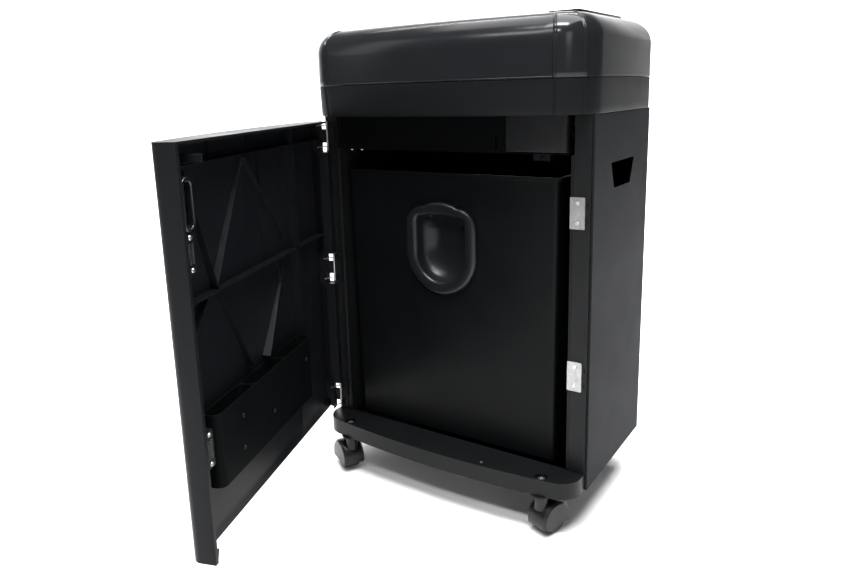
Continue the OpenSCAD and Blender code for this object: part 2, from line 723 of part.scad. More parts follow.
// Shaft with its discs, in one revolved profile along X
module cutter(y, offset) {
    x0 = -cut_x - plate_w - 4;
    x1 = gear_x + gear_w;
    first = -disc_span / 2 + offset;
    profile = concat([[x0, 0], [x0, journal_r], [-cut_x + 1, journal_r], [-cut_x + 1, core_r]],
        [for (i = [0:disc_n - 1]) each let (x = first + i * disc_pitch)
            [[x, core_r], [x, disc_r - 0.8], [x + 0.8, disc_r], [x + disc_t - 0.8, disc_r],
             [x + disc_t, disc_r - 0.8], [x + disc_t, core_r]]],
        [[cut_x - 1, core_r], [cut_x - 1, journal_r], [x1, journal_r], [x1, 0]]);
    color("#8a8d91") translate([0, y, cut_z]) rotate([0, 90, 0]) difference() {
        rotate_extrude($fn = 64) polygon([for (p = profile) [p[1], p[0]]]);
        for (a = [0:72:359]) rotate([0, 0, a]) translate([disc_r - 2.5, -2, first - 1])
            cube([6, 4, disc_n * disc_pitch + 2]);
    }
}

module cutter_frame(s) {
    x = s > 0 ? cut_x : -cut_x - plate_w;
    y1 = s > 0 ? motor_y + 20 : rear_y + 34;
    z0 = z_shelf + shelf_t;
    color("#9a9da0") {
        difference() {
            block([x, front_y - 34, z0], [x + plate_w, y1, cut_z + 40]);
            for (y = [front_y, rear_y]) rod_x(x - over, x + plate_w + over, y, cut_z, bush_r + fit);
            if (s > 0) rod_x(x - over, x + plate_w + over, motor_y, motor_z, 7);
            for (y = [front_y - 24, rear_y + 24], z = [z0 + 12, cut_z + 30])
                rod_x(x - over, x + plate_w + over, y, z, 4 + fit);
        }
        block([x - (s > 0 ? 0 : 12), front_y - 34, z0], [x + plate_w, y1, z0 + 2]);
        if (s > 0) rod_x(x + plate_w - over, big_x + 9, idler_y, idler_z, stub_r);
    }
}

module tie_rods() {
    z0 = z_shelf + shelf_t;
    color("#a7aaad") for (y = [front_y - 24, rear_y + 24], z = [z0 + 12, cut_z + 30]) {
        rod_x(-cut_x - plate_w - 4, cut_x + plate_w + 1.5, y, z, 4);
    }
}

module bearing_bushes() {
    color("#b08d4a") for (y = [front_y, rear_y], s = [-1, 1]) mirror([s > 0 ? 0 : 1, 0, 0]) difference() {
        rod_x(cut_x - 0.6, cut_x + plate_w, y, cut_z, bush_r);
        rod_x(cut_x - 2, cut_x + plate_w + 2, y, cut_z, journal_r + fit);
    }
}

// Two bars with fingers that reach between the discs from outside
module stripper_combs() {
    x_front = -disc_span / 2;
    x_rear = x_front + disc_pitch / 2;
    color("#1c1d1f") {
        comb(front_y, -1, x_front);
        comb(rear_y, 1, x_rear);
    }
}

module comb(y, s, first) {
    bar = disc_r + 1.5;
    gap = disc_pitch - disc_t;
    translate([0, y, 0]) mirror([0, s > 0 ? 0 : 1, 0]) {
        block([-cut_x + 0.2, bar, cut_z - 8], [cut_x - 0.2, bar + 5, cut_z + 8]);
        for (i = [0:disc_n - 2]) translate([first + i * disc_pitch + disc_t + gap / 2, 0, 0])
            block([-gap / 2 + 0.4, core_r + 0.8, cut_z - 4], [gap / 2 - 0.4, bar + 1, cut_z + 4]);
    }
}

module motor() {
    x0 = cut_x - motor_l;
    color("#3c3e41") {
        difference() {
            union() {
                rod_x(x0, cut_x - 12, motor_y, motor_z, motor_r);
                rod_x(cut_x - 12, cut_x, motor_y, motor_z, motor_r - 6);
            }
            rod_x(cut_x - 14, cut_x + over, motor_y, motor_z, 4.6);
        }
        rod_x(x0 - 8, x0, motor_y, motor_z, 10);
        for (x = [x0 + 14, cut_x - 30])
            block([x, motor_y - 20, z_shelf + shelf_t], [x + 10, motor_y + 20, motor_z - 12]);
    }
}

module circuit_board() {
    z = z_shelf + shelf_t + 10;
    color("#1e5a36") block([-in_w + 12, nip_y - 40, z], [-cut_x - 22, nip_y + 60, z + 1.6]);
    color("#2a2c30") {
        block([-in_w + 18, nip_y - 30, z + 1.6], [-in_w + 38, nip_y - 4, z + 20]);
        block([-in_w + 18, nip_y + 10, z + 1.6], [-in_w + 36, nip_y + 30, z + 16]);
        for (y = [nip_y - 34, nip_y + 54], x = [-in_w + 16, -cut_x - 26])
            translate([x, y, z_shelf + shelf_t]) cylinder(h = 10, r = 3);
    }
}

// Microswitch that the door's interlock tab reaches
module door_switch() {
    color("#0f1012") {
        block([fascia_end - 18, y_face + 12, z_fascia + 14], [fascia_end - 2.6, y_face + 34, z_fascia + 32]);
        block([fascia_end - 2.6, y_face + 14, z_fascia + 20], [fascia_end + 1.5, y_face + 20, z_fascia + 26]);
    }
}

// Tooth angles of the train at rest, each set so that it meshes with the one before
rear_a = 0;
front_a = mesh_angle(rear_a, 180, gear_z, gear_z);
idler_dir = atan2(idler_z - cut_z, idler_y - rear_y);
small_a = mesh_angle(rear_a, idler_dir, gear_z, small_z);
big_a = small_a;
pinion_dir = atan2(motor_z - idler_z, motor_y - idler_y);
pinion_a = mesh_angle(big_a, pinion_dir, big_z, pinion_z);

module shaft_gear(y, a) {
    color("#b3b5b8") translate([gear_x, y, cut_z]) difference() {
        spur(gear_m, gear_z, gear_w, a);
        rod_x(-over, gear_w + over, 0, 0, journal_r);
    }
}

module compound_gear() {
    color("#a9acaf") translate([0, idler_y, idler_z]) difference() {
        union() {
            translate([gear_x, 0, 0]) spur(gear_m, small_z, gear_w + 1, small_a);
            rod_x(gear_x + gear_w, big_x, 0, 0, 9);
            translate([big_x, 0, 0]) spur(big_m, big_z, 7, big_a);
        }
        rod_x(gear_x - over, big_x + 9, 0, 0, stub_r + fit);
    }
}

module motor_pinion() {
    color("#c0c2c4") {
        rod_x(cut_x - 13, big_x + 9, motor_y, motor_z, 4);
        translate([big_x, motor_y, motor_z]) difference() {
            spur(big_m, pinion_z, 8, pinion_a);
            rod_x(-over, 9, 0, 0, 4);
        }
    }
}

/* ---------- bin ---------- */

// Outline of the handle's bezel, as (x, z) points: an arch above, a half round below
function grip_outline(inset) = let (w = grip_w / 2 - inset, top = grip_z + grip_h / 2 - inset,
        c = grip_z - grip_h / 2 + grip_w / 2, r = max(24 - inset, 8))
    concat(arc([grip_x, c], w, 180, 360, 16), arc([grip_x + w - r, top - r - 4], r, 0, 75, 5),
           [[grip_x, top]], arc([grip_x - w + r, top - r - 4], r, 105, 180, 5));

module bin_shell() {
    x0 = bin_x - bin_w / 2;
    x1 = bin_x + bin_w / 2;
    z1 = bin_z0 + bin_h;
    color("#17181b") difference() {
        union() {
            translate([0, 0, bin_z0]) linear_extrude(bin_h) polygon(rounded(x0, bin_y0, x1, bin_y1, bin_r));
            translate([0, 0, z1 - 5]) linear_extrude(5)
                polygon(rounded(x0 - rim, bin_y0 - 1, x1 + rim, bin_y1 + rim, bin_r + rim));
        }
        translate([0, 0, bin_z0 + bin_wall]) linear_extrude(bin_h) polygon(rounded(x0 + bin_wall,
            bin_y0 + bin_wall, x1 - bin_wall, bin_y1 - bin_wall, bin_r - bin_wall));
        along_y(bin_y0 - 2, bin_y0 + bin_wall + over) polygon(grip_outline(bezel_w - 3));
    }
}

module bin_handle() {
    y1 = bin_y0 + grip_deep;
    color("#2b2c2f") difference() {
        union() {
            along_y(bin_y0 - bezel_t, bin_y0) polygon(grip_outline(0));
            along_y(bin_y0 - 1, y1) polygon(grip_outline(bezel_w - 2.9));
        }
        along_y(bin_y0 - bezel_t - over, y1 - grip_wall) polygon(grip_outline(bezel_w));
    }
}

/* ---------- door ---------- */

module door_plan(g) {
    polygon(plan(door_x0 + g, door_x1 - g, y_door - door_t + g, y_door - (g > 0 ? -9 : 0), bow, 12 - g, 0.5));
}

// Outer skin with its edge walls
module door_skin() {
    color("#333437") swung() difference() {
        translate([0, 0, z_door0]) linear_extrude(z_door1 - z_door0) door_plan(0);
        // hollow between the walls, open at the bottom behind the liner
        translate([0, 0, z_door0 + door_wall]) linear_extrude(z_door1 - z_door0 - 2 * door_wall) intersection() {
            door_plan(door_wall);
            translate([door_x0, y_front - bow - 9]) square([door_in1 - door_x0, door_t + bow + 20]);
        }
        block([door_x0 + door_wall, liner_y - liner_t, z_door0 - over],
              [door_in1, y_door + over, z_door0 + door_wall + over]);
        hinge_notches();
    }
    // small hook at the foot of the free edge
    color("#333437") swung() along_y(y_door - 4, y_door - 2) polygon([[door_in1 - 7, z_door0 + 12],
        [door_in1 + 1, z_door0 + 12], [door_in1 + 1, z_door0 - 2.5], [door_in1 - 2, z_door0 - 2.5]]);
}

// Openings in the hinge edge of the door for the knuckles
module hinge_notches() {
    for (z = hinge_z) block([door_x0 - over, y_door - 12.5, z - hinge_h / 2 - 2],
                            [door_in0 + over, y_door + over, z + hinge_h / 2 + 2]);
}

// Inner panel with its hinge post, ribs and folds
module door_liner() {
    x0 = door_x0 + door_wall + 1.2;
    zt = z_door1 - door_wall;
    z_mid = z_base + 278;
    z_high = z_base + 414;
    knot = [hinge_x + 304, z_mid + 4];
    knot_l = [hinge_x + 122, z_mid];
    knot_up = [hinge_x + 216, z_high - 3];
    knot_low = [hinge_x + 224, z_mid - 110];
    color("#16181b") swung() difference() {
        union() {
            block([x0 + 2.5, liner_y - liner_t, z_door0], [door_in1 - 1, liner_y, zt]);
            block([x0, liner_y, z_door0 + 22], [door_in0, y_door, zt]);
            // cross ribs and the double rib beside the hinge post
            rib_x(x0, door_in1, z_high);
            rib_x(x0, door_in1, z_mid);
            for (k = [0, 7]) block([pocket_x0 - 4 + k, liner_y, z_pocket + pocket_h],
                                   [pocket_x0 - 4 + k + rib_t, liner_y + rib_deep, zt]);
            // diagonal folds that meet on the middle rib
            fold(knot, knot_up, 8);
            fold(knot, [door_in1 - 38, z_high], 7.8);
            fold(knot, [door_in1 - 10, z_mid - 62], 7.6);
            fold(knot, knot_low, 7.4);
            fold(knot_up, knot_l, 7.2);
            fold(knot_l, knot_low, 7);
            for (p = [knot, knot_l, knot_up, knot_low]) translate([p[0], liner_y - 0.5, p[1]])
                rotate([-90, 0, 0]) cylinder(h = rib_deep - 2, r = 2 * rib_t, $fn = 24);
        }
        hinge_notches();
    }
}

module rib_x(x0, x1, z) {
    block([x0, liner_y - 0.5, z - rib_t / 2], [x1, liner_y + rib_deep, z + rib_t / 2]);
}

// Thin rib on the liner between two (x, z) points
module fold(a, b, deep) {
    translate([a[0], liner_y - 0.5, a[1]]) rotate([0, -atan2(b[1] - a[1], b[0] - a[0]), 0])
        translate([0, 0, -rib_t / 2]) cube([norm(b - a), deep, rib_t]);
}

// Pocket for oil and bags: a trough with rounded ends and a row of rounded cells
module door_pocket() {
    y0 = liner_y + 0.1;
    y1 = y_door;
    w = pocket_wall;
    cell = (pocket_x1 - pocket_x0 - w) / pocket_cells;
    color("#141619") swung() difference() {
        translate([0, 0, z_pocket]) linear_extrude(pocket_h) polygon(concat([[pocket_x1, y0]],
            arc([pocket_x1 - pocket_r, y1 - pocket_r], pocket_r, 0, 90, 6),
            arc([pocket_x0 + pocket_r, y1 - pocket_r], pocket_r, 90, 180, 6), [[pocket_x0, y0]]));
        for (k = [0:pocket_cells - 1]) translate([pocket_x0 + w + k * cell, 0, z_pocket + w])
            linear_extrude(pocket_h) polygon(rounded(0, y0 + w, cell - w, y1 - w, pocket_r - w));
    }
}

// Oval loop beside the free edge
module door_handle() {
    x1 = door_in1 - 0.05;
    z0 = floor_gap + 374;
    z1 = floor_gap + 428;
    color("#101214") swung() difference() {
        along_y(y_door - 9, y_door - 0.5) polygon(rounded(x1 - 20, z0, x1, z1, 9.9));
        along_y(y_door - 10, y_door + 1) polygon(rounded(x1 - 15.5, z0 + 4.5, x1 - 4.5, z1 - 4.5, 5.4));
    }
}

module door_catches() {
    x1 = door_in1 - 0.05;
    swung() for (z = strike_z) {
        color("#1a1b1d") difference() {
            block([x1 - 14, y_door - 10, z - 20], [x1, y_door - 1.4, z + 20]);
            for (k = [-16, 16]) translate([x1 - 7, y_door - 12, z + k]) rotate([-90, 0, 0]) cylinder(h = 12, r = 1.5);
        }
        color("#c3c5c7") for (k = [-3.6, 2.2]) block([x1 - 7 + k, y_door - 1.4, z - 10],
                                                     [x1 - 5.6 + k, y_door - 0.1, z + 10]);
    }
}

// Door leaves: the middle knuckle and a plate on the notch's floor
module door_hinges() {
    color("#aeb0b2") swung() for (z = hinge_z) difference() {
        union() {
            translate([hinge_x, hinge_y, z]) cylinder(h = hinge_h / 2 - 0.6, r = knuckle_r, center = true);
            block([hinge_x - 0.7, y_door - 12.4, z - hinge_h / 4 + 0.3],
                  [hinge_x + 0.7, hinge_y, z + hinge_h / 4 - 0.3]);
            block([hinge_x - 0.7, y_door - 12.4, z - hinge_h / 2],
                  [door_in0 - 0.5, y_door - 11.2, z + hinge_h / 2]);
        }
        translate([hinge_x, hinge_y, z]) cylinder(h = hinge_h, r = pin_r + fit, center = true);
    }
}

// Tab that enters the gap beside the fascia and works the door switch
module interlock_tab() {
    x = fascia_end + 4;
    z = z_fascia + 23;
    color("#1d1f22") swung() {
        block([x - 1.2, liner_y + 0.05, z - 4], [x + 1.2, y_door + 11, z + 4]);
        for (k = [-9, 6]) block([x + k, liner_y + 0.05, z - 4], [x + k + 3, liner_y + 11, z + 4]);
        block([x - 9, liner_y + 0.05, z - 6], [x + 9, liner_y + 11, z - 4]);
    }
}

module door_screws() {
    x1 = door_in1 - 0.05;
    color("#c2c4c6") swung() {
        for (z = strike_z, k = [-16, 16]) translate([x1 - 7, y_door - 1.4, z + k])
            rotate([-90, 0, 0]) screw_head(2.6, 1.1);
        for (p = [[0.79, 0.72], [0.49, 0.37], [0.8, 0.28], [0.09, 0.7]])
            translate([pocket_x0 + (pocket_x1 - pocket_x0) * p[0], y_door, z_pocket + pocket_h * p[1]])
                rotate([-90, 0, 0]) screw_head(2.6, 1.1);
    }
}

/* ---------- assembly ---------- */

base_plate();
side_panel(-1);  // side_panel_left
side_panel(1);  // side_panel_right
back_panel();
stile(-1);  // stile_left
stile(1);  // stile_right
grip_cups();
chassis_shelf();
fascia_panel();
fascia_cover();
bin_sensor();
strike_plates();
cabinet_screws();
cabinet_hinges();
castor_sockets();
head_skirt();
head_hood();
corner_trim(-1);  // corner_trim_left
corner_trim(1);  // corner_trim_right
control_pod();
status_lenses();
throat_liner();
power_inlet();
power_rocker();
cutter_frame(-1);  // cutter_frame_left
cutter_frame(1);  // cutter_frame_right
tie_rods();
bearing_bushes();
stripper_combs();
motor();
circuit_board();
door_switch();
cutter(front_y, 0);  // cutter_front
shaft_gear(front_y, front_a);  // gear_front
cutter(rear_y, disc_pitch / 2);  // cutter_rear
shaft_gear(rear_y, rear_a);  // gear_rear
compound_gear();
motor_pinion();
button(button_y[0]);  // button_reverse
button(button_y[1]);  // button_auto
button(button_y[2]);  // button_forward
bin_shell();
bin_handle();
door_skin();
door_liner();
door_pocket();
door_handle();
door_catches();
door_hinges();
interlock_tab();
door_screws();
at_castor(-1, castor_y[0], turn_fl) castor_hood();  // castor_hood_fl
at_castor(1, castor_y[0], turn_fr) castor_hood();  // castor_hood_fr
at_castor(-1, castor_y[1], turn_rl) castor_hood();  // castor_hood_rl
at_castor(1, castor_y[1], turn_rr) castor_hood();  // castor_hood_rr
at_castor(-1, castor_y[0], turn_fl) castor_wheels();  // castor_wheels_fl
at_castor(1, castor_y[0], turn_fr) castor_wheels();  // castor_wheels_fr
at_castor(-1, castor_y[1], turn_rl) castor_wheels();  // castor_wheels_rl
at_castor(1, castor_y[1], turn_rr) castor_wheels();  // castor_wheels_rr
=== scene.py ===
"""Looks of a cabinet paper shredder on castors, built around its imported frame. All sizes are in metres."""

import json
import logging
import math
from dataclasses import dataclass
from enum import Enum

import bmesh
import bpy
import numpy as np
from mathutils import Matrix, Vector
from mathutils.geometry import tessellate_polygon

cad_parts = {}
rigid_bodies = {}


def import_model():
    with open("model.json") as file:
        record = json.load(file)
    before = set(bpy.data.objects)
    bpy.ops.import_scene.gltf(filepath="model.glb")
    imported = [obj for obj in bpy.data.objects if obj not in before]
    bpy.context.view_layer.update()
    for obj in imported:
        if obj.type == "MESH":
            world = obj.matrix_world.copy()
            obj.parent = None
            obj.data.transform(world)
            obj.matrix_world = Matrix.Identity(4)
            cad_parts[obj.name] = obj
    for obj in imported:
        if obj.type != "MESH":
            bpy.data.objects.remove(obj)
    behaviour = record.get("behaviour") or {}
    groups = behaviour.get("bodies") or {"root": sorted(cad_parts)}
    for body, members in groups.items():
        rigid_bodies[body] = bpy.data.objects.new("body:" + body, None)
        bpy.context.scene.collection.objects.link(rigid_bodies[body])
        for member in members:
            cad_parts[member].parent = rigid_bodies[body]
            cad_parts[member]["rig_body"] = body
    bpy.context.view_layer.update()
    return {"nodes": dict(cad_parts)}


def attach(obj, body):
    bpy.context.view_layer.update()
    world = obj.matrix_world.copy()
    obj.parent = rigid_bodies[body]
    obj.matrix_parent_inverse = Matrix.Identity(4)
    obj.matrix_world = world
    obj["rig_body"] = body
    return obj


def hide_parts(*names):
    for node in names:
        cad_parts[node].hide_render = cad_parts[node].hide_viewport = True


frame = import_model()

log = logging.getLogger("shredder")
Tree, Socket = bpy.types.NodeTree, bpy.types.NodeSocket
MM = 0.001
# the door's upright hinge axis, as x and y in millimetres
PIN = (-190.0, -111.0)


# ---------------------------------------------------------------- small tools


def linear(colour: str) -> tuple[float, float, float, float]:
    """Turns an sRGB hex colour to linear RGBA.

    Args:
        colour: the colour, such as "#202225".

    Returns:
        Red, green, blue and an alpha of 1, as linear values.
    """
    srgb = np.array([int(colour[i : i + 2], 16) for i in (1, 3, 5)]) / 255.0
    rgb = np.where(srgb <= 0.04045, srgb / 12.92, ((srgb + 0.055) / 1.055) ** 2.4)
    return (*rgb.tolist(), 1.0)


def add_node(
    tree: bpy.types.NodeTree, kind: str, settings: dict | None = None, inputs: dict | None = None
) -> bpy.types.Node:
    """Adds a node with its settings, its input values and its links.

    Args:
        tree: the node tree.
        kind: the node's type name.
        settings: attributes of the node.
        inputs: values or output sockets, by input name or number.

    Returns:
        The new node.
    """
    node = tree.nodes.new(kind)
    for key, value in (settings or {}).items():
        setattr(node, key, value)
    for key, value in (inputs or {}).items():
        if isinstance(value, bpy.types.NodeSocket):
            tree.links.new(value, node.inputs[key])
        else:
            node.inputs[key].default_value = value
    return node


def grid_faces(rows: int, cols: int, wrap: bool = False) -> np.ndarray:
    """Works out the quads of a grid of points: quad (i, j) joins its corner to the next row and column.

    Args:
        rows: points along the first parameter.
        cols: points along the second parameter.
        wrap: whether the last column joins the first.

    Returns:
        Quads as rows of four point numbers.
    """
    i, j = np.meshgrid(np.arange(rows - 1), np.arange(cols if wrap else cols - 1), indexing="ij")
    i, j = i.ravel(), j.ravel()
    k = (j + 1) % cols
    return np.stack([i * cols + j, (i + 1) * cols + j, (i + 1) * cols + k, i * cols + k], axis=1)


def make_piece(name: str, points: np.ndarray, faces: list | np.ndarray) -> bpy.types.Object:
    """Makes a smooth-shaded mesh piece at the origin from points and faces.

    Args:
        name: the piece's name.
        points: points as an N by 3 array.
        faces: faces as lists of point numbers.

    Returns:
        The new object, linked into the scene.
    """
    mesh = bpy.data.meshes.new(name)
    faces = faces.tolist() if isinstance(faces, np.ndarray) else faces
    mesh.from_pydata(np.asarray(points, dtype=float).tolist(), [], faces)
    mesh.polygons.foreach_set("use_smooth", np.full(len(mesh.polygons), True))
    mesh.update()
    piece = bpy.data.objects.new(name, mesh)
    bpy.context.scene.collection.objects.link(piece)
    return piece


def point_array(mesh: bpy.types.Mesh) -> np.ndarray:
    """Reads the points of a mesh.

    Args:
        mesh: the mesh.

    Returns:
        Its points in metres, as an N by 3 array.
    """
    place = np.empty(len(mesh.vertices) * 3)
    mesh.vertices.foreach_get("co", place)
    return place.reshape(-1, 3)


def walled(piece: bpy.types.Object, thickness: float) -> bpy.types.Object:
    """Gives a surface a wall on its inner side.

    Args:
        piece: the piece.
        thickness: thickness of the wall in millimetres.

    Returns:
        The same piece.
    """
    wall = piece.modifiers.new("wall", "SOLIDIFY")
    wall.thickness = thickness * MM
    wall.offset = -1.0
    return piece


def facing(points: np.ndarray, faces: list, way: int) -> list:
    """Turns flat triangles so that they face up or down.

    Args:
        points: all points.
        faces: triangles as lists of point numbers.
        way: 1 for up, -1 for down.

    Returns:
        The triangles, each turned over if it faced the other way.
    """
    turned = []
    for face in faces:
        a, b, c = (points[k] for k in face)
        turned.append(face if way * np.cross(b - a, c - a)[2] > 0 else face[::-1])
    return turned


# ---------------------------------------------------------------- finishes


def cloudy(tree: Tree, cloud: Socket, colour: str, low: float, high: float) -> None:
    """Gives the shader a base colour that varies with a noise.

    Args:
        tree: the material's node tree.
        cloud: a noise, from 0 to 1.
        colour: the middle colour.
        low: brightness where the noise is 0, as a share of the colour.
        high: brightness where the noise is 1.
    """
    base = linear(colour)[:3]
    shades = {6: low, 7: high}
    inputs = {key: tuple(min(c * share, 1.0) for c in base) + (1.0,) for key, share in shades.items()}
    tint = add_node(tree, "ShaderNodeMix", {"data_type": "RGBA"}, {"Factor": cloud, **inputs})
    tree.links.new(tint.outputs[2], tree.nodes["Principled BSDF"].inputs["Base Color"])


def noise(tree: Tree, place: Socket, scale: float, detail: float, **more: float) -> Socket:
    """Adds a noise.

    Args:
        tree: the material's node tree.
        place: the coordinates.
        scale: its scale, the inverse of the size of its grains.
        detail: its octaves.
        more: further input values.

    Returns:
        The noise, from 0 to 1.
    """
    inputs = {"Vector": place, "Scale": scale, "Detail": detail, **more}
    return add_node(tree, "ShaderNodeTexNoise", None, inputs).outputs["Fac"]


def uneven_gloss(tree: Tree, cloud: Socket, roughness: float, spread: float) -> None:
    """Gives the shader a roughness that varies with a noise.

    Args:
        tree: the material's node tree.
        cloud: a noise, from 0 to 1.
        roughness: the middle roughness.
        spread: how far it goes to either side.
    """
    span = {"From Min": 0.3, "From Max": 0.7, "To Min": roughness - spread, "To Max": roughness + spread}
    gloss = add_node(tree, "ShaderNodeMapRange", None, {"Value": cloud, **span})
    tree.links.new(gloss.outputs["Result"], tree.nodes["Principled BSDF"].inputs["Roughness"])


def bumpy(tree: Tree, cloud: Socket, strength: float, depth: float) -> None:
    """Gives the shader a fine relief from a noise.

    Args:
        tree: the material's node tree.
        cloud: a noise, from 0 to 1.
        strength: strength of the relief.
        depth: its depth in metres.
    """
    bump = add_node(tree, "ShaderNodeBump", None, {"Strength": strength, "Distance": depth, "Height": cloud})
    tree.links.new(bump.outputs["Normal"], tree.nodes["Principled BSDF"].inputs["Normal"])


@dataclass(frozen=True)
class Moulded:
    """Injection-moulded plastic: an even colour, a fine etched texture and slightly uneven gloss."""

    name: str
    colour: str
    roughness: float
    grain: float
    depth: float
    coat: float = 0.0
    uneven: float = 0.05
    sheen: float = 0.5

    def make(self) -> bpy.types.Material:
        """Builds the material.

        Returns:
            The material, with the etched texture as bump and the uneven gloss from a wide noise.
        """
        material = bpy.data.materials.new(self.name)
        material.use_nodes = True
        tree = material.node_tree
        shader = tree.nodes["Principled BSDF"]
        place = add_node(tree, "ShaderNodeTexCoord").outputs["Object"]
        wide = noise(tree, place, 1 / (70 * MM), 3.0)
        etched = noise(tree, place, 1 / self.grain, 2.0, Roughness=0.6)
        cloudy(tree, wide, self.colour, 0.86, 1.14)
        uneven_gloss(tree, wide, self.roughness, self.uneven)
        bumpy(tree, etched, 0.5, self.depth)
        shader.inputs["IOR"].default_value = 1.5
        shader.inputs["Specular IOR Level"].default_value = self.sheen
        shader.inputs["Coat Weight"].default_value = self.coat
        shader.inputs["Coat Roughness"].default_value = 0.08
        return material


@dataclass(frozen=True)
class Metal:
    """Bare or plated metal: a bright colour with fine scratches or streaks along one axis."""

    name: str
    colour: str
    roughness: float
    streak: tuple[float, float, float]
    depth: float

    def make(self) -> bpy.types.Material:
        """Builds the material.

        Returns:
            The material; its streaks are a noise stretched along the axis with the largest size.
        """
        material = bpy.data.materials.new(self.name)
        material.use_nodes = True
        tree = material.node_tree
        shader = tree.nodes["Principled BSDF"]
        place = add_node(tree, "ShaderNodeTexCoord").outputs["Object"]
        shrink = tuple(1 / size for size in self.streak)
        scaled = add_node(tree, "ShaderNodeMapping", None, {"Vector": place, "Scale": shrink})
        streaks = noise(tree, scaled.outputs["Vector"], 1.0, 3.0)
        cloudy(tree, noise(tree, place, 1 / (9 * MM), 2.0), self.colour, 0.75, 1.2)
        uneven_gloss(tree, streaks, self.roughness, 0.08)
        bumpy(tree, streaks, 0.4, self.depth)
        shader.inputs["Metallic"].default_value = 1.0
        return material


class Plastic(Enum):
    """The moulded and coated finishes of the shredder."""

    # ABS of the hood: satin-gloss, so lamps draw long soft highlights on it
    HOOD = Moulded("abs_satin_gloss_hood", "#17181a", 0.2, 0.5 * MM, 0.004 * MM, 0.0, 0.03, 0.13)
    # ABS of the corner trims: polished tool, so the highlights are tight
    TRIM = Moulded("abs_polished_trim", "#17181a", 0.13, 0.6 * MM, 0.002 * MM, 0.0, 0.02, 0.3)
    # ABS of the lower band: spark-eroded texture, so it stays dull
    BAND = Moulded("abs_textured_band", "#111214", 0.4, 0.7 * MM, 0.02 * MM, 0.0, 0.05, 0.08)
    # melamine-faced board of the cabinet's walls: flat, with a faint pearl texture
    BOARD = Moulded("melamine_board_black", "#1c1d20", 0.42, 0.9 * MM, 0.02 * MM, 0.0, 0.04, 0.012)
    # powder-coated steel of the stiles and frame
    FRAME = Moulded("powder_coat_black", "#0e0f10", 0.38, 0.8 * MM, 0.02 * MM, 0.0, 0.05, 0.16)
    # ABS of the door's outer skin
    DOOR = Moulded("abs_satin_door", "#151618", 0.33, 0.6 * MM, 0.01 * MM, 0.0, 0.05, 0.07)
    # polypropylene of the door's liner and the fascia: black and slightly waxy
    LINER = Moulded("polypropylene_liner", "#101114", 0.36, 0.8 * MM, 0.012 * MM, 0.0, 0.05, 0.1)
    # polypropylene of two deep ribs, given a lighter colour and more sheen than the liner: a painted
    # highlight where light falls on them
    RIB_PAINTED_HIGHLIGHT = Moulded("polypropylene_rib_painted_highlight", "#1c1e21", 0.30, 0.8 * MM, 0.008 * MM, 0.0, 0.05, 0.5)
    # polypropylene of the pocket and the fascia: matt
    POCKET = Moulded("polypropylene_pocket", "#090a0b", 0.45, 0.8 * MM, 0.012 * MM, 0.0, 0.05, 0.015)
    # polypropylene of the bin
    BIN = Moulded("polypropylene_bin", "#08090a", 0.36, 0.8 * MM, 0.012 * MM, 0.0, 0.05, 0.08)
    # ABS of the bin's handle
    GRIP = Moulded("abs_satin_grip", "#101113", 0.34, 0.6 * MM, 0.012 * MM, 0.0, 0.05, 0.3)
    # glass-filled nylon of the castors
    NYLON = Moulded("nylon_castor", "#0f1011", 0.34, 0.7 * MM, 0.015 * MM, 0.0, 0.05, 0.3)
    # polished keys and pod
    KEY = Moulded("abs_polished_key", "#121315", 0.15, 0.6 * MM, 0.003 * MM, 0.2, 0.03, 0.4)
    # black enamel of the motor can
    ENAMEL = Moulded("enamel_motor", "#131416", 0.25, 1.2 * MM, 0.02 * MM)
    # solder mask of the circuit board
    MASK = Moulded("solder_mask_green", "#14502d", 0.3, 0.4 * MM, 0.01 * MM)
    # tinted polycarbonate of the status lenses
    LENS = Moulded("polycarbonate_lens", "#7fb58b", 0.12, 0.6 * MM, 0.002 * MM, 0.5, 0.02)


class Bare(Enum):
    """The metal finishes of the shredder."""

    # zinc plating: pale and a little cloudy
    ZINC = Metal("zinc_plated_steel", "#c4c5c6", 0.34, (6 * MM, 0.4 * MM, 0.4 * MM), 0.01 * MM)
    # pressed and galvanised sheet
    SHEET = Metal("galvanised_sheet", "#93969a", 0.42, (9 * MM, 0.6 * MM, 0.6 * MM), 0.012 * MM)
    # nickel-plated strike plates: brighter and smoother than the zinc
    PLATE = Metal("nickel_plated_plate", "#989898", 0.3, (0.5 * MM, 0.5 * MM, 8 * MM), 0.006 * MM)
    # ground and oiled tool steel
    TOOL = Metal("ground_tool_steel", "#83868b", 0.28, (0.3 * MM, 5 * MM, 5 * MM), 0.01 * MM)
    # sintered bronze
    BRONZE = Metal("sintered_bronze", "#a8793c", 0.45, (1 * MM, 1 * MM, 1 * MM), 0.02 * MM)


made: dict[str, bpy.types.Material] = {}


def material_of(finish: Plastic | Bare) -> bpy.types.Material:
    """Gives the material of a finish, built the first time it is asked for.

    Args:
        finish: the finish.

    Returns:
        The one material that every piece of this finish shares.
    """
    if finish.name not in made:
        made[finish.name] = finish.value.make()
    return made[finish.name]


def dress(finish: Plastic | Bare, *nodes: str) -> None:
    """Gives CAD nodes that keep their mesh a finish.

    Args:
        finish: the finish.
        nodes: names of the CAD nodes.
    """
    for node in nodes:
        own = frame["nodes"][node].material_slots
        for slot in own:
            slot.material = material_of(finish)
        if not own:
            frame["nodes"][node].data.materials.append(material_of(finish))


# ---------------------------------------------------------------- pieces from the frame


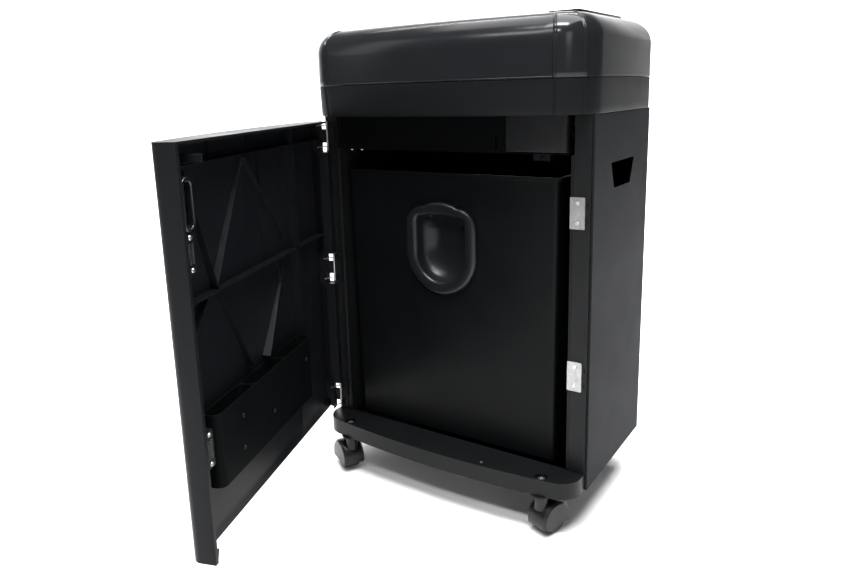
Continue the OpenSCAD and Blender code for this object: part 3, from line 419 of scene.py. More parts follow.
def settle(
    piece: bpy.types.Object, finish: Plastic | Bare, like: str, replaced: bool = True
) -> bpy.types.Object:
    """Gives a piece its finish and the body that a CAD node rides on.

    Args:
        piece: the piece, in its place.
        finish: its finish.
        like: the CAD node whose body it takes.
        replaced: whether the piece stands for that node.

    Returns:
        The same piece.
    """
    piece.data.materials.clear()
    piece.data.materials.append(material_of(finish))
    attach(piece, frame["nodes"][like]["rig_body"])
    if replaced:
        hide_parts(like)
    return piece


def bevelled(piece: bpy.types.Object, width: float, segments: int, angle: float) -> bpy.types.Object:
    """Rounds the sharp edges of a piece.

    Args:
        piece: the piece.
        width: width of the rounding.
        segments: its number of facets.
        angle: edges that turn more than this, in degrees, are rounded.

    Returns:
        The same piece.
    """
    bevel = piece.modifiers.new("edges", "BEVEL")
    bevel.width = width
    bevel.segments = segments
    bevel.limit_method = "ANGLE"
    bevel.angle_limit = math.radians(angle)
    bevel.harden_normals = bool(piece.data.polygons[0].use_smooth)
    bevel.miter_outer = "MITER_ARC"
    return piece


def softened(
    node: str,
    finish: Plastic | Bare,
    width: float,
    segments: int = 2,
    angle: float = 32.0,
    smooth: bool = True,
) -> bpy.types.Object:
    """Replaces a CAD node with a copy that has welded faces and rounded edges.

    Args:
        node: the CAD node.
        finish: its finish.
        width: width of the rounding.
        segments: facets of the rounding.
        angle: edges that turn more than this, in degrees, are rounded.
        smooth: whether curved faces are shaded smooth; pieces with flat faces only don't need it.

    Returns:
        The new piece.
    """
    work = bmesh.new()
    work.from_mesh(frame["nodes"][node].data)
    bmesh.ops.remove_doubles(work, verts=work.verts, dist=0.004 * MM)
    bmesh.ops.dissolve_limit(work, angle_limit=math.radians(0.5), verts=work.verts, edges=work.edges)
    mesh = bpy.data.meshes.new(node + "_piece")
    work.to_mesh(mesh)
    work.free()
    mesh.polygons.foreach_set("use_smooth", np.full(len(mesh.polygons), smooth))
    if smooth:
        mesh.set_sharp_from_angle(angle=math.radians(angle))
    piece = bpy.data.objects.new(node + "_piece", mesh)
    bpy.context.scene.collection.objects.link(piece)
    return settle(bevelled(piece, width, segments, angle), finish, node)


def block(low: tuple, high: tuple) -> tuple:
    """Points and faces of a block.

    Args:
        low: its lowest corner.
        high: its highest corner.

    Returns:
        Eight points and six outward faces.
    """
    x, y, z = zip(low, high)
    points = np.array([[x[i], y[j], z[k]] for i in (0, 1) for j, k in ((0, 0), (1, 0), (1, 1), (0, 1))])
    return points, [[0, 3, 2, 1], [4, 5, 6, 7], [0, 1, 5, 4], [2, 3, 7, 6], [1, 2, 6, 5], [0, 4, 7, 3]]


def gathered(shells: list[tuple]) -> tuple[np.ndarray, list]:
    """Puts several sets of points and faces into one.

    Args:
        shells: pairs of points and faces.

    Returns:
        All points, and all faces renumbered to them.
    """
    points, faces, start = [], [], 0
    for part_points, part_faces in shells:
        points.append(np.asarray(part_points, dtype=float))
        faces.extend([[start + k for k in face] for face in part_faces])
        start += len(part_points)
    return np.concatenate(points), faces


def rod(a: np.ndarray, b: np.ndarray, radius: float, sides: int = 12) -> tuple:
    """Points and faces of a round rod from a to b.

    Args:
        a: centre of the first end.
        b: centre of the second end.
        radius: its radius.
        sides: number of sides.

    Returns:
        The points and outward faces.
    """
    along = (b - a) / np.linalg.norm(b - a)
    helper = np.array([1.0, 0, 0]) if abs(along[0]) < 0.9 else np.array([0, 1.0, 0])
    u = np.cross(along, helper)
    u /= np.linalg.norm(u)
    v = np.cross(along, u)
    turn = np.linspace(0, 2 * math.pi, sides, endpoint=False)[:, None]
    circle = radius * (np.cos(turn) * u + np.sin(turn) * v)
    ring = np.arange(sides)
    side = [[k, (k + 1) % sides, sides + (k + 1) % sides, sides + k] for k in ring.tolist()]
    return np.concatenate([a + circle, b + circle]), side + [ring[::-1].tolist(), (sides + ring).tolist()]


def outward(piece: bpy.types.Object) -> bpy.types.Object:
    """Turns the faces of a closed piece outwards.

    Args:
        piece: the piece.

    Returns:
        The same piece.
    """
    work = bmesh.new()
    work.from_mesh(piece.data)
    bmesh.ops.recalc_face_normals(work, faces=work.faces)
    work.to_mesh(piece.data)
    work.free()
    return piece


# ---------------------------------------------------------------- head


@dataclass
class Head:
    """Hood, corner trims, lower band and the fittings of the head, in millimetres until a piece is made."""

    half_w: float = 201.5
    front: float = -143.0
    back: float = 106.0
    low: float = 525.0
    part: float = 566.0
    top: float = 638.0
    corner: float = 57.0
    bow: float = 11.0
    edge_front: float = 35.0
    edge_side: float = 28.0
    edge_rear: float = 45.0
    rear_plan: float = 14.0
    flat: float = 6.0
    wall: float = 3.0
    trim_from: float = 19.35
    trim_to: float = 59.65
    bead_angles: tuple[float, ...] = (20.7, 23.0, 56.0, 58.3)
    bead_height: float = 0.8
    bead_width: float = 0.55

    def corner_angles(self) -> np.ndarray:
        """Angles of the columns on a front corner, dense beside the trim's two edges.

        Returns:
            Angles in degrees, from the front towards the side.
        """
        return np.concatenate(
            [
                np.linspace(8, 18.4, 6),
                [18.85, 19.0, 19.05],
                np.linspace(self.trim_from, 24.5, 22),
                np.linspace(25.5, 53.5, 15),
                np.linspace(54.5, self.trim_to, 22),
                [59.95, 60.0, 60.15],
                np.linspace(60.6, 90, 12),
            ]
        )

    def front_corner(self, side: int, angle: np.ndarray) -> np.ndarray:
        """Columns of a front corner: an arc in plan, with an edge radius that changes from front to side.

        Args:
            side: 1 for the right corner, -1 for the left.
            angle: angles in degrees, from the front.

        Returns:
            Rows of outline x, y, normal x, y, flat x, y, edge radius and the angle itself.
        """
        turn = np.radians(angle)
        normal = np.stack([side * np.sin(turn), -np.cos(turn)], axis=1)
        centre = np.array([side * (self.half_w - self.corner), self.front + self.corner])
        point = centre + self.corner * normal
        edge = self.edge_front + (self.edge_side - self.edge_front) * angle / 90
        return np.column_stack([point, normal, point - edge[:, None] * normal, edge, angle])

    def rear_corner(self, side: int, share: np.ndarray) -> np.ndarray:
        """Columns of a rear corner, from the side wall (share 0) to the rear wall (share 1).

        Args:
            side: 1 for the right corner, -1 for the left.
            share: places on the corner.

        Returns:
            Rows like those of front_corner, with an angle of -1.
        """
        turn = share * math.pi / 2
        normal = np.stack([side * np.cos(turn), np.sin(turn)], axis=1)
        outer = np.array([side * (self.half_w - self.rear_plan), self.back - self.rear_plan])
        inset_x, inset_y = self.edge_side + self.flat, self.edge_rear + self.flat
        inner = np.array([side * (self.half_w - inset_x), self.back - inset_y])
        edge = self.edge_side + (self.edge_rear - self.edge_side) * share
        point, flat = outer + self.rear_plan * normal, inner + self.flat * normal
        return np.column_stack([point, normal, flat, edge, np.full(len(share), -1.0)])

    def rear_wall(self, x: np.ndarray) -> np.ndarray:
        """Columns of the rear wall at the given x.

        Args:
            x: places along the wall.

        Returns:
            Rows like those of front_corner, with an angle of -1.
        """
        one = np.ones(len(x))
        flat = (self.back - self.edge_rear) * one
        return np.column_stack([x, self.back * one, 0 * one, one, x, flat, self.edge_rear * one, -one])

    def front_wall(self, count: int = 44) -> np.ndarray:
        """Columns of the bowed front: a parabola between the ends of the two corners.

        Args:
            count: number of steps between the corners.

        Returns:
            Rows like those of front_corner, with an angle of 0.
        """
        turn = math.radians(self.corner_angles()[0])
        end = self.half_w - self.corner * (1 - math.sin(turn))
        y_end = self.front + self.corner * (1 - math.cos(turn))
        k = np.linspace(-1, 1, count + 1)[1:-1]
        slope = np.stack([2 * self.bow * k / end, -np.ones(len(k))], axis=1)
        normal = slope / np.linalg.norm(slope, axis=1)[:, None]
        point = np.stack([k * end, y_end - self.bow * (1 - k * k)], axis=1)
        one = np.ones(len(k))
        flat = point - self.edge_front * normal
        return np.column_stack([point, normal, flat, self.edge_front * one, 0 * one])

    def ring(self) -> np.ndarray:
        """All columns round the head, counter-clockwise from above.

        Returns:
            Rows of outline x, y, normal x, y, flat x, y, edge radius and corner angle.
        """
        angle = self.corner_angles()
        share = np.linspace(0, 1, 9)
        return np.concatenate(
            [
                self.front_corner(1, angle),
                self.rear_corner(1, share),
                self.rear_wall(np.array([120.0, 40.0, -40.0, -74.0, -96.0, -106.0, -134.0])),
                self.rear_corner(-1, share[::-1]),
                self.front_corner(-1, angle[::-1]),
                self.front_wall(),
            ]
        )

    def surface(self, ring: np.ndarray, turn: np.ndarray, relief: np.ndarray) -> np.ndarray:
        """Rounded top edge: each column goes from the flat top, through a quarter turn, to the wall.

        Args:
            ring: columns of the head.
            turn: angles down the edge in degrees, 0 on the flat top and 90 on the wall.
            relief: height above the surface, one row per turn and one column per rim point.

        Returns:
            Points, one row per turn.
        """
        sine, cosine = np.sin(np.radians(turn))[:, None], np.cos(np.radians(turn))[:, None]
        point, normal, flat, edge = ring[:, 0:2], ring[:, 2:4], ring[:, 4:6], ring[:, 6]
        plan = flat[None] + (point - flat)[None] * sine[..., None] + normal[None] * (relief * sine)[..., None]
        height = self.top - edge[None] * (1 - cosine) + relief * cosine
        return np.concatenate([plan, height[..., None]], axis=-1)

    def wall_rows(self, ring: np.ndarray, heights: np.ndarray, relief: np.ndarray) -> np.ndarray:
        """Upright part of the wall: each column keeps its place in plan, moved out by the relief.

        Args:
            ring: columns of the head.
            heights: height of every point, one row per step.
            relief: distance outwards of every point.

        Returns:
            Points, one row per step.
        """
        plan = ring[None, :, 0:2] + ring[None, :, 2:4] * relief[..., None]
        return np.concatenate([plan, heights[..., None]], axis=-1)

    def beads(self, angle: np.ndarray) -> np.ndarray:
        """Two thin beads beside each edge of the trim, as bell curves of the corner's angle.

        Args:
            angle: corner angles in degrees.

        Returns:
            Height of the beads in millimetres.
        """
        away = (angle[:, None] - np.array(self.bead_angles)) / self.bead_width
        return self.bead_height * np.exp(-(away**2)).sum(axis=1)

    def hood(self) -> None:
        """Lofts the hood round its ring, sunk under the trims, with a lip at the parting line."""
        ring = self.ring()
        turn = np.linspace(0, 90, 28)
        fade = np.clip(turn / 18, 0, 1)[:, None]
        sunk = np.where((ring[:, 7] > 19.02) & (ring[:, 7] < 59.98), -1.2, 0.0)
        edge = self.surface(ring, turn, fade * sunk)
        foot = np.array([[8.0, 0], [3.0, 0], [2.2, 0], [1.6, 0.35], [0.9, 0.5], [0.2, 0.35], [0.0, 0.0]])
        start = self.top - ring[:, 6]
        share = np.linspace(0, 1, 5)[1:, None]
        straight = start[None] + (self.part + 8.0 - start)[None] * share
        heights = np.concatenate([straight, np.repeat(self.part + foot[1:, :1], len(ring), 1)])
        relief = np.concatenate([np.repeat(sunk[None], 4, 0), sunk[None] + foot[1:, 1:]])
        rows = np.concatenate([edge, self.wall_rows(ring, heights, relief)])
        faces = grid_faces(len(rows), len(ring), wrap=True).tolist()
        points = rows.reshape(-1, 3)
        hole = np.array([[-122.3, -23.3], [122.3, -23.3], [122.3, 3.3], [-122.3, 3.3]])
        corners = np.column_stack([hole, np.full(4, self.top)])
        base = len(points)
        outer = [Vector(p) for p in rows[0]]
        number = list(range(len(ring))) + [base + k for k in range(4)]
        lid = tessellate_polygon([outer, [Vector(p) for p in corners]])
        flat = [[number[k] for k in face] for face in lid]
        points = np.concatenate([points, corners])
        piece = make_piece("hood", points * MM, faces + facing(points, flat, 1))
        piece.data.set_sharp_from_angle(angle=math.radians(28))
        settle(walled(piece, self.wall), Plastic.HOOD, "head_hood")

    def trim(self, side: int) -> None:
        """Lofts a corner trim: a strip of the rounded edge, raised a little, with two beads at each side.

        Args:
            side: 1 for the right corner, -1 for the left.
        """
        spans = ((self.trim_from, 24.5), (25.5, 53.5), (54.5, self.trim_to))
        angle = np.concatenate([np.linspace(start, end, 22) for start, end in spans])
        ring = self.front_corner(side, angle if side > 0 else angle[::-1])
        edge_in = np.minimum(np.abs(ring[:, 7] - self.trim_from), np.abs(ring[:, 7] - self.trim_to))
        rise = 0.6 * np.clip(edge_in / 0.3, 0, 1) ** 0.5 - 0.2 + self.beads(ring[:, 7])
        turn = np.linspace(0, 90, 34)
        edge = self.surface(ring, turn, np.clip(turn / 14, 0, 1)[:, None] * rise + 0.05)
        start = self.top - ring[:, 6]
        share = np.linspace(0, 1, 7)[1:, None]
        heights = start[None] + (self.part + 0.6 - start)[None] * share
        low = np.full((1, len(ring)), self.part + 0.1)
        relief = np.concatenate([np.repeat(rise[None] + 0.05, 6, 0), rise[None] - 0.5])
        rows = np.concatenate([edge, self.wall_rows(ring, np.concatenate([heights, low]), relief)])
        name = "trim_right" if side > 0 else "trim_left"
        piece = make_piece(name, rows.reshape(-1, 3) * MM, grid_faces(len(rows), len(ring)))
        settle(walled(piece, 1.1), Plastic.TRIM, f"corner_{name}")

    def band(self) -> None:
        """Lofts the lower band: drawn in towards its foot at the front, open for the inlet and the switch."""
        ring = self.ring()
        steps = np.array([40.7, 40.4, 39.6, 29.0, 20.0, 9.0, 1.6, 0.5, 0.0])
        round_off = np.array([-0.7, -0.2, 0.0, 0.0, 0.0, 0.0, 0.0, -0.35, -1.2])
        lean = 4.5 * np.clip(-ring[:, 3], 0, 1) ** 2
        lean_in = lean[None] * (1 - steps / 41.0)[:, None]
        relief = round_off[:, None] - lean_in + self.beads(ring[:, 7])[None] * 0.8
        rows = self.wall_rows(ring, np.repeat(self.low + steps[:, None], len(ring), 1), relief)
        faces = grid_faces(len(rows), len(ring), wrap=True)
        middle = rows.reshape(-1, 3)[faces].mean(axis=1)
        inlet = (middle[:, 0] > -134) & (middle[:, 0] < -106)
        rocker = (middle[:, 0] > -96) & (middle[:, 0] < -74)
        height = (middle[:, 2] > self.low + 9) & (middle[:, 2] < self.low + 29)
        faces = faces[~((inlet | rocker) & height & (middle[:, 1] > self.back - 2))].tolist()
        plan = ((-182.0, -97.0), (182.0, -97.0), (182.0, 97.0), (-182.0, 97.0))
        hole = np.array([[x, y, self.low] for x, y in plan])
        last = (len(rows) - 1) * len(ring)
        number = list(range(last, last + len(ring))) + [rows.size // 3 + k for k in range(4)]
        flat = tessellate_polygon([[Vector(p) for p in rows[-1]], [Vector(p) for p in hole]])
        points = np.concatenate([rows.reshape(-1, 3), hole])
        floor = [[number[k] for k in face] for face in flat]
        piece = make_piece("band", points * MM, faces + facing(points, floor, -1))
        piece.data.set_sharp_from_angle(angle=math.radians(35))
        settle(walled(piece, self.wall), Plastic.BAND, "head_skirt")

    def build(self) -> None:
        """Builds the head with its controls and mains fittings."""
        self.hood()
        self.trim(1)
        self.trim(-1)
        self.band()
        softened("control_pod", Plastic.KEY, 1.6 * MM, 3)
        for name in ("button_reverse", "button_auto", "button_forward"):
            softened(name, Plastic.KEY, 0.8 * MM, 3)
        softened("throat_liner", Plastic.LINER, 0.8 * MM)
        softened("power_inlet", Plastic.LINER, 0.5 * MM)
        softened("power_rocker", Plastic.KEY, 0.5 * MM)
        softened("status_lenses", Plastic.LENS, 0.4 * MM)


# ---------------------------------------------------------------- cabinet


def slim_knuckles(piece: bpy.types.Object, radius: float = 4.2, drawn: float = 0.68) -> bpy.types.Object:
    """Draws the rolled knuckles of a hinge in to the slim bright pin they turn on, and gives them zinc.

    Args:
        piece: the hinge leaves.
        radius: distance from the pin's axis within which a point is drawn in, in millimetres.
        drawn: how far it is drawn in, as a share of its distance.

    Returns:
        The same piece.
    """
    place = point_array(piece.data)
    away = place[:, :2] - np.array(PIN) * MM
    near = np.hypot(away[:, 0], away[:, 1]) < radius * MM
    place[near, :2] -= drawn * away[near]
    piece.data.vertices.foreach_set("co", place.ravel())
    piece.data.materials.append(material_of(Bare.ZINC))
    for polygon in piece.data.polygons:
        if all(near[k] for k in polygon.vertices):
            polygon.material_index = 1
    piece.data.update()
    return piece


@dataclass
class Cabinet:
    """Walls, stiles, base, fascia and the small hardware of the cabinet."""

    def boards(self) -> None:
        """Side panels and back panel with eased edges."""
        for name in ("side_panel_left", "side_panel_right", "back_panel"):
            softened(name, Plastic.BOARD, 0.7 * MM, smooth=False)

    def framework(self) -> None:
        """Stiles, base, grip cups and shelf."""
        for name in ("stile_left", "stile_right"):
            softened(name, Plastic.FRAME, 0.6 * MM, smooth=False)
        softened("base_plate", Plastic.FRAME, 2.2 * MM, 3)
        softened("grip_cups", Plastic.HOOD, 0.8 * MM, 3, smooth=False)
        softened("chassis_shelf", Bare.SHEET, 0.3 * MM, smooth=False)

    def fascia(self) -> None:
        """Panels under the head, with the bin sensor."""
        softened("fascia_panel", Plastic.POCKET, 0.5 * MM, smooth=False)
        softened("fascia_cover", Plastic.GRIP, 0.8 * MM)
        softened("bin_sensor", Plastic.LINER, 0.5 * MM)

    def hardware(self) -> None:
        """Strike plates, screws and fixed hinge leaves."""
        softened("strike_plates", Bare.PLATE, 0.25 * MM)
        softened("cabinet_screws", Bare.ZINC, 0.2 * MM)
        softened("castor_sockets", Plastic.FRAME, 0.2 * MM)
        slim_knuckles(softened("cabinet_hinges", Plastic.FRAME, 0.2 * MM))

    def build(self) -> None:
        """Builds the cabinet."""
        self.boards()
        self.framework()
        self.fascia()
        self.hardware()


# ---------------------------------------------------------------- castors


@dataclass
class Castors:
    """Four twin-wheel castors."""

    corners: tuple[str, ...] = ("fl", "fr", "rl", "rr")

    def build(self) -> None:
        """Builds the hoods and wheels."""
        for corner in self.corners:
            softened(f"castor_hood_{corner}", Plastic.NYLON, 1.5 * MM, 4)
            softened(f"castor_wheels_{corner}", Plastic.NYLON, 0.4 * MM)


# ---------------------------------------------------------------- bin


@dataclass
class Bin:
    """The waste bin with its handle, in millimetres until a piece is made."""

    middle: float = -7.5
    top: float = 449.5
    low: float = 79.5
    front: float = -93.0
    grip_x: float = -13.5
    grip_z: float = 347.5
    grip_w: float = 106.0
    grip_h: float = 124.0
    rim_inset: float = 14.1

    def outline(self, inset: float) -> np.ndarray:
        """Outline of the handle: a shallow arch above, upright sides and a half round below.

        Args:
            inset: distance inside the outer outline.

        Returns:
            Rows of x and z, clockwise seen from the front, starting at the top.
        """
        half = self.grip_w / 2 - inset
        top = self.grip_z + self.grip_h / 2 - inset
        centre = self.grip_z - self.grip_h / 2 + self.grip_w / 2
        corner = max(26.0 - 1.2 * inset, 8.0)
        drop = 7.0 - 0.3 * inset
        shoulder = top - drop - corner
        arch = np.radians(np.linspace(90, 0, 12))
        swing = corner * np.stack([np.cos(arch), np.sin(arch)], axis=1)
        right_top = np.array([half - corner, shoulder]) + swing
        run = np.linspace(0, 1, 10)[:-1, None]
        crown = (1 - run) * np.array([0.0, top]) + run * right_top[0]
        crown[:, 1] = top - drop * run[:, 0] ** 2
        side = np.linspace(shoulder, centre, 8)[1:-1]
        low = np.radians(np.linspace(0, -90, 16))
        bottom = np.stack([half * np.cos(low), centre + half * np.sin(low)], axis=1)
        right = np.concatenate([crown, right_top, np.stack([np.full(len(side), half), side], axis=1), bottom])
        left = right[-2:0:-1] * np.array([-1, 1])
        return np.concatenate([right, left]) + np.array([self.grip_x, 0.0])

    def handle(self) -> None:
        """Lofts the handle: a crowned bezel round a scoop that is steep above and curves gently elsewhere."""
        insets = (0.0, 0.0, 0.4, 1.4, 3.0, 7.0, 10.5, 12.6, 13.7, 14.0, self.rim_inset)
        raised = (0.0, 2.4, 3.6, 4.6, 5.0, 5.0, 4.8, 4.2, 3.0, 1.6, -1.0)
        rows = []
        for inset, proud in zip(insets, raised):
            plan = self.outline(inset)
            rows.append(np.column_stack([plan[:, 0], np.full(len(plan), self.front - proud), plan[:, 1]]))
        rim = self.outline(self.rim_inset)
        middle = np.array([self.grip_x, self.grip_z + 16.0])
        upper = np.clip((rim[:, 1] - middle[1] - 14.0) / 14.0, 0, 1)
        round_off = 0.72 - 0.56 * upper * upper * (3 - 2 * upper)
        for k in np.linspace(0.04, 1.0, 26):
            plan = rim + (middle - rim) * k if k < 1 else middle + (rim - middle) / 100
            deep = 1.0 + 21.5 * np.sqrt(1 - (1 - np.clip(k / round_off, 0, 1)) ** 2)
            rows.append(np.column_stack([plan[:, 0], self.front + deep, plan[:, 1]]))
        count, cols = len(rows), len(rim)
        faces = grid_faces(count, cols, wrap=True)[:, ::-1].tolist()
        faces.append(list(range((count - 1) * cols, count * cols)))
        piece = walled(make_piece("bin_grip", np.concatenate(rows) * MM, faces), 1.6)
        settle(piece, Plastic.GRIP, "bin_handle")

    def build(self) -> None:
        """Builds the bin; its shell narrows a little towards the floor."""
        shell = softened("bin_shell", Plastic.BIN, 0.9 * MM, 3)
        place = point_array(shell.data) / MM
        down = (self.top - place[:, 2]) / (self.top - self.low)
        side = (place[:, 0] - self.middle) / 160.0
        place[:, 0] -= side * down * np.where(side < 0, 7.0, 2.4)
        shell.data.vertices.foreach_set("co", (place * MM).ravel())
        shell.data.update()
        self.handle()


# ---------------------------------------------------------------- door


@dataclass
class Door:
    """The door with its liner, pocket and hardware: drawn closed in millimetres, then swung on its pins."""

    angle: float = -70.5
    plane: float = -107.0
    liner: float = -129.0
    left: float = -189.3
    right: float = 192.0
    foot: float = 83.0
    head: float = 515.0
    hinges: tuple[float, ...] = (104.0, 305.0, 497.0)
    catches: tuple[float, ...] = (208.0, 411.0)
    cross_ribs: tuple[float, ...] = (357.0, 493.0)
    post: float = -177.5

    def swung(self, points: np.ndarray) -> np.ndarray:
        """Turns points of the closed door to where the door stands, and changes them to metres.

        Args:
            points: points in millimetres.

        Returns:
            Points in metres.
        """
        turn = math.radians(self.angle)
        away = points[:, :2] - np.array(PIN)
        spin = np.array([[math.cos(turn), math.sin(turn)], [-math.sin(turn), math.cos(turn)]])
        return np.column_stack([away @ spin + np.array(PIN), points[:, 2]]) * MM

    def ribs(self) -> list[tuple]:
        """Ends of the diagonal ribs with their depths.

        Returns:
            Pairs of (x, z) ends, each followed by the rib's depth at that end.
        """
        x0 = PIN[0]
        knot, top, left, low = (x0 + 312, 362.0), (x0 + 228, 490.0), (x0 + 133, 379.0), (x0 + 245, 247.0)
        return [
            (knot, top, 8.0, 3.0),
            (knot, (x0 + 350, 488.0), 8.0, 4.0),
            ((x0 + 328, 358.0), (x0 + 375, 302.0), 8.0, 5.0),
            (knot, low, 8.0, 6.5),
            (top, left, 6.5, 2.0),
            ((x0 + 137, 337.0), (x0 + 208, 244.0), 1.0, 10.0),
        ]

    def panel(self) -> tuple:
        """Inner sheet of the door: it sinks between the ribs as the root of the distance to the nearest one.

        Returns:
            Its points and faces.
        """
        x = np.linspace(self.left, self.right, 110)
        z = np.linspace(self.foot, self.head, 124)
        gx, gz = np.meshgrid(x, z, indexing="ij")
        near = np.minimum.reduce([np.abs(gz - z) for z in self.cross_ribs] + [np.abs(gx + 84.0)])
        for a, b, *_ in self.ribs():
            along = np.array(b) - np.array(a)
            share = np.clip(((gx - a[0]) * along[0] + (gz - a[1]) * along[1]) / (along @ along), 0, 1)
            near = np.minimum(near, np.hypot(gx - a[0] - share * along[0], gz - a[1] - share * along[1]))
        edge = np.minimum.reduce([gx - self.left, self.right - gx, gz - self.foot, self.head - gz])
        sink = 1.7 * np.sqrt(np.clip(near / 60.0, 0, 1)) * np.clip(edge / 12.0, 0, 1)
        face = np.stack([gx, self.liner - sink, gz], axis=-1).reshape(-1, 3)
        return face, grid_faces(len(x), len(z))[:, ::-1].tolist()

    def rib(self, a: tuple, b: tuple, deep_a: float, deep_b: float, thick: float = 2.4) -> tuple:
        """A rib on the liner whose depth changes from one end to the other.

        Args:
            a: first end, as x and z.
            b: second end.
            deep_a: depth at the first end.
            deep_b: depth at the second end.
            thick: its thickness at the foot; the free edge is a third thinner.

        Returns:
            Its points and faces.
        """
        start, end = np.array(a, dtype=float), np.array(b, dtype=float)
        across = np.array([-(end - start)[1], (end - start)[0]]) / np.linalg.norm(end - start)
        points = []
        for place, deep in ((start, deep_a), (end, deep_b)):
            for side, height, share in ((-1, -2.0, 0.5), (1, -2.0, 0.5), (1, deep, 0.33), (-1, deep, 0.33)):
                at = place + side * share * thick * across
                points.append([at[0], self.liner + height, at[1]])
        faces = [[3, 2, 1, 0], [4, 5, 6, 7], [0, 1, 5, 4], [1, 2, 6, 5], [2, 3, 7, 6], [3, 0, 4, 7]]
        return np.array(points), faces

    def inner(self) -> None:
        """Builds the liner: its sheet, hinge post, cross ribs, double rib and diagonal ribs; two diagonal
        ribs carry a painted highlight.
        """
        blocks = [self.rib(a, b, p, q) for a, b, p, q in self.ribs()]
        # the first and the sixth diagonal rib get the lighter rib finish, a painted highlight
        painted_highlight_ribs = [blocks.pop(5), blocks.pop(0)]
        for z in self.cross_ribs:
            blocks.append(self.rib((-176.0, z), (self.right, z), 11.0, 11.0))
        for x in (-86.5, -79.5):
            blocks.append(self.rib((x, 236.0), (x, self.head - 1), 11.0, 11.0))
        low_ribs = ((-3.0, 362.0, 493.0), (108.0, 493.0, 514.0), (20.0, 493.0, 514.0), (-40.0, 236.0, 357.0))
        for x, z0, z1 in low_ribs:
            blocks.append(self.rib((x, z0), (x, z1), 2.2, 2.2, 3.0))
        posts = ((126.5, 282.5, self.plane), (327.5, 474.5, self.plane), (101.5, self.head, -120.0))
        for z0, z1, face in posts:
            blocks.append(block((self.left, self.liner - 1.0, z0), (self.post, face, z1)))
        points, faces = gathered([self.panel(), *blocks])
        piece = make_piece("liner", self.swung(points), faces)
        piece.data.set_sharp_from_angle(angle=math.radians(24))
        settle(piece, Plastic.LINER, "door_liner")
        points, faces = gathered(painted_highlight_ribs)
        piece = outward(make_piece("liner_ribs_painted_highlight", self.swung(points), faces))
        piece.data.set_sharp_from_angle(angle=math.radians(24))
        # these two ribs are painted lighter and glossier than the liner: a painted highlight
        settle(piece, Plastic.RIB_PAINTED_HIGHLIGHT, "door_liner", replaced=False)

    def pocket(self) -> None:
        """Pocket with rounded ends and three round-cornered cells."""
        softened("door_pocket", Plastic.POCKET, 1.0 * MM, 3, 50.0).name = "pocket"

    def hardware(self) -> None:
        """Hinge leaves with bright pins, catches, loop, tab and screws; the pocket's screws are black."""
        softened("door_handle", Plastic.KEY, 1.6 * MM, 3)
        softened("interlock_tab", Plastic.LINER, 0.5 * MM)
        softened("door_catches", Plastic.FRAME, 0.3 * MM)
        slim_knuckles(softened("door_hinges", Plastic.FRAME, 0.3 * MM))
        screws = softened("door_screws", Bare.ZINC, 0.2 * MM)
        screws.data.materials.append(material_of(Plastic.FRAME))
        reach = point_array(frame["nodes"]["door_pocket"].data)
        low, high = reach.min(axis=0) + np.array([4 * MM, 0, 0]), reach.max(axis=0)
        for polygon in screws.data.polygons:
            if all(a < b < c for a, b, c in zip(low, polygon.center, high)):
                polygon.material_index = 1
        plates = []
        for z in self.catches:
            for x in (182.4, 188.2):
                plates.append(block((x, self.plane - 1.5, z - 10), (x + 1.4, self.plane - 0.1, z + 10)))
        for z in self.hinges:
            for k in (-15.0, 15.0):
                a = np.array([PIN[0] + 1.0, PIN[1] - 1.0, z + k])
                plates.append(rod(a, a + np.array([13.0, -9.0, 0.0]), 0.9))
        points, faces = gathered(plates)
        piece = outward(make_piece("door_bright", self.swung(points), faces))
        piece.data.set_sharp_from_angle(angle=math.radians(30))
        settle(piece, Bare.ZINC, "door_catches", replaced=False)

    def build(self) -> None:
        """Builds the door."""
        softened("door_skin", Plastic.DOOR, 1.4 * MM, 3)
        self.inner()
        self.pocket()
        self.hardware()


# ---------------------------------------------------------------- cutter unit


@dataclass
class CutterUnit:
    """Frames, cutter shafts, gears and motor inside the head."""

    def build(self) -> None:
        """Gives the inner pieces their finishes; the plain ones get rounded edges."""
        for name in ("cutter_frame_left", "cutter_frame_right", "tie_rods"):
            softened(name, Bare.SHEET, 0.3 * MM)
        softened("motor", Plastic.ENAMEL, 0.8 * MM)
        softened("circuit_board", Plastic.MASK, 0.3 * MM)
        softened("door_switch", Plastic.LINER, 0.4 * MM)
        dress(Bare.TOOL, "cutter_front", "cutter_rear", "gear_front", "gear_rear")
        dress(Bare.TOOL, "compound_gear", "motor_pinion")
        dress(Bare.BRONZE, "bearing_bushes")
        dress(Plastic.LINER, "stripper_combs")


# ---------------------------------------------------------------- studio


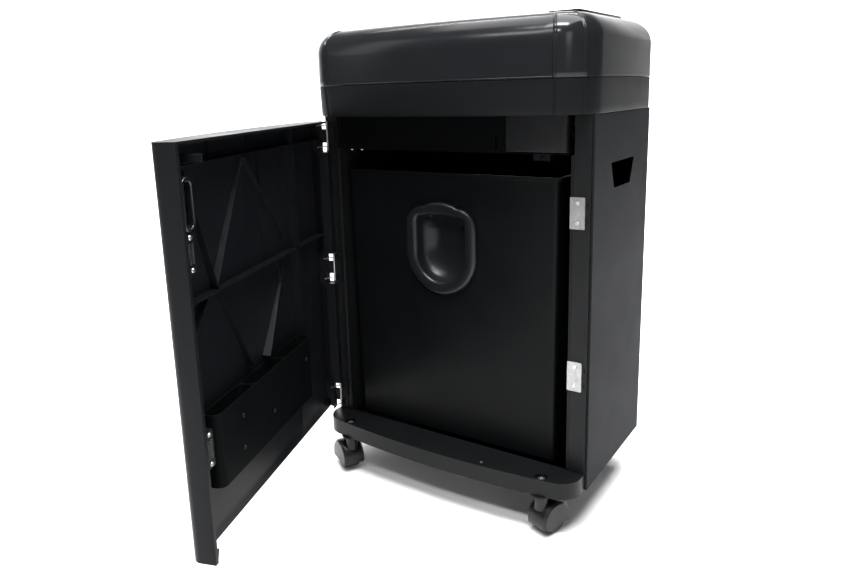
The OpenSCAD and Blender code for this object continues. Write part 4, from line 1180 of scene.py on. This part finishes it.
@dataclass
class Studio:
    """Pale floor that curves up into a backdrop, soft lamps and the camera."""

    eye: tuple[float, float, float] = (488.9 * MM, -897.3 * MM, 558.8 * MM)
    yaw: float = 0.601
    pitch: float = 0.215
    roll: float = -0.030
    lens: float = 30.52
    shift: tuple[float, float] = (0.0146, -0.0556)

    def camera(self) -> None:
        """Sets the camera: yaw turns it left of +Y, pitch lowers it and roll tilts it."""
        forward = Vector(
            (
                -math.sin(self.yaw) * math.cos(self.pitch),
                math.cos(self.yaw) * math.cos(self.pitch),
                -math.sin(self.pitch),
            )
        )
        right = forward.cross(Vector((0, 0, 1))).normalized()
        up = right.cross(forward)
        across = right * math.cos(self.roll) + up * math.sin(self.roll)
        above = -right * math.sin(self.roll) + up * math.cos(self.roll)
        data = bpy.data.cameras.new("camera")
        data.lens = self.lens
        data.sensor_width = 36.0
        data.sensor_fit = "HORIZONTAL"
        data.shift_x, data.shift_y = self.shift
        data.clip_start = 0.02
        camera = bpy.data.objects.new("camera", data)
        axes = Matrix((across, above, -forward)).transposed().to_4x4()
        camera.matrix_world = Matrix.Translation(self.eye) @ axes
        bpy.context.scene.collection.objects.link(camera)
        bpy.context.scene.camera = camera

    def backdrop(self) -> None:
        """Builds the floor: flat, then a quarter circle of 2 m radius, then upright; x runs across it."""
        turn = np.linspace(0, math.pi / 2, 24)
        along = np.concatenate([[-6.0], 3.0 + 2.0 * np.sin(turn), [5.0]])
        height = np.concatenate([[0.0], 2.0 - 2.0 * np.cos(turn), [7.0]])
        across = np.linspace(-9, 9, 3)
        points = np.stack(
            [
                np.repeat(across[None, :], len(along), 0),
                np.repeat(along[:, None], 3, 1),
                np.repeat(height[:, None], 3, 1),
            ],
            axis=-1,
        )
        turned = points.copy()
        turned[..., 0] = points[..., 0] * math.cos(self.yaw) - points[..., 1] * math.sin(self.yaw)
        turned[..., 1] = points[..., 0] * math.sin(self.yaw) + points[..., 1] * math.cos(self.yaw)
        floor = make_piece("studio_floor", turned.reshape(-1, 3), grid_faces(len(along), 3)[:, ::-1])
        paper = bpy.data.materials.new("studio_paper")
        paper.use_nodes = True
        shader = paper.node_tree.nodes["Principled BSDF"]
        shader.inputs["Base Color"].default_value = linear("#f4f4f4")
        shader.inputs["Roughness"].default_value = 0.9
        shader.inputs["Specular IOR Level"].default_value = 0.1
        floor.data.materials.append(paper)

    def lamp(self, name: str, place: tuple, target: tuple, size: tuple, power: float) -> None:
        """Adds a soft rectangular lamp.

        Args:
            name: the lamp's name.
            place: where it stands.
            target: the point it faces.
            size: its width and height.
            power: its power in watts.
        """
        data = bpy.data.lights.new(name, "AREA")
        data.shape = "RECTANGLE"
        data.size, data.size_y = size
        data.energy = power
        lamp = bpy.data.objects.new(name, data)
        aim = (Vector(target) - Vector(place)).to_track_quat("-Z", "Y").to_matrix().to_4x4()
        lamp.matrix_world = Matrix.Translation(place) @ aim
        bpy.context.scene.collection.objects.link(lamp)

    def build(self) -> None:
        """Builds the whole studio."""
        self.camera()
        self.backdrop()
        middle = (0.0, 0.0, 0.4)
        self.lamp("lamp_top", (0.0, 0.3, 3.2), (0.0, 0.3, 0.0), (3.0, 2.2), 150)
        self.lamp("strip_front", (0.1, -1.5, 2.0), (0.0, 0.0, 0.6), (1.6, 0.22), 34)
        self.lamp("strip_high", (0.35, -0.85, 2.5), (0.0, 0.0, 0.6), (1.5, 0.34), 85)
        self.lamp("lamp_left", (-1.8, -1.6, 1.5), middle, (0.5, 1.6), 8)
        self.lamp("lamp_right", (1.9, -1.5, 1.3), middle, (0.5, 1.2), 5)
        self.lamp("lamp_backdrop", (-0.9, 1.6, 3.2), (-2.0, 3.8, 0.8), (3.0, 1.0), 330)
        world = bpy.data.worlds.new("studio_air")
        world.use_nodes = True
        world.node_tree.nodes["Background"].inputs["Color"].default_value = linear("#ffffff")
        world.node_tree.nodes["Background"].inputs["Strength"].default_value = 0.15
        bpy.context.scene.world = world
        bpy.context.scene.view_settings.view_transform = "Standard"


def main() -> None:
    """Builds the studio and every sub-assembly in order."""
    Studio().build()
    log.info("studio built")
    for part in (Cabinet(), Head(), Bin(), Door(), Castors(), CutterUnit()):
        part.build()
        log.info("%s built", type(part).__name__)


if __name__ == "__main__":
    logging.basicConfig(level=logging.INFO)
    main()
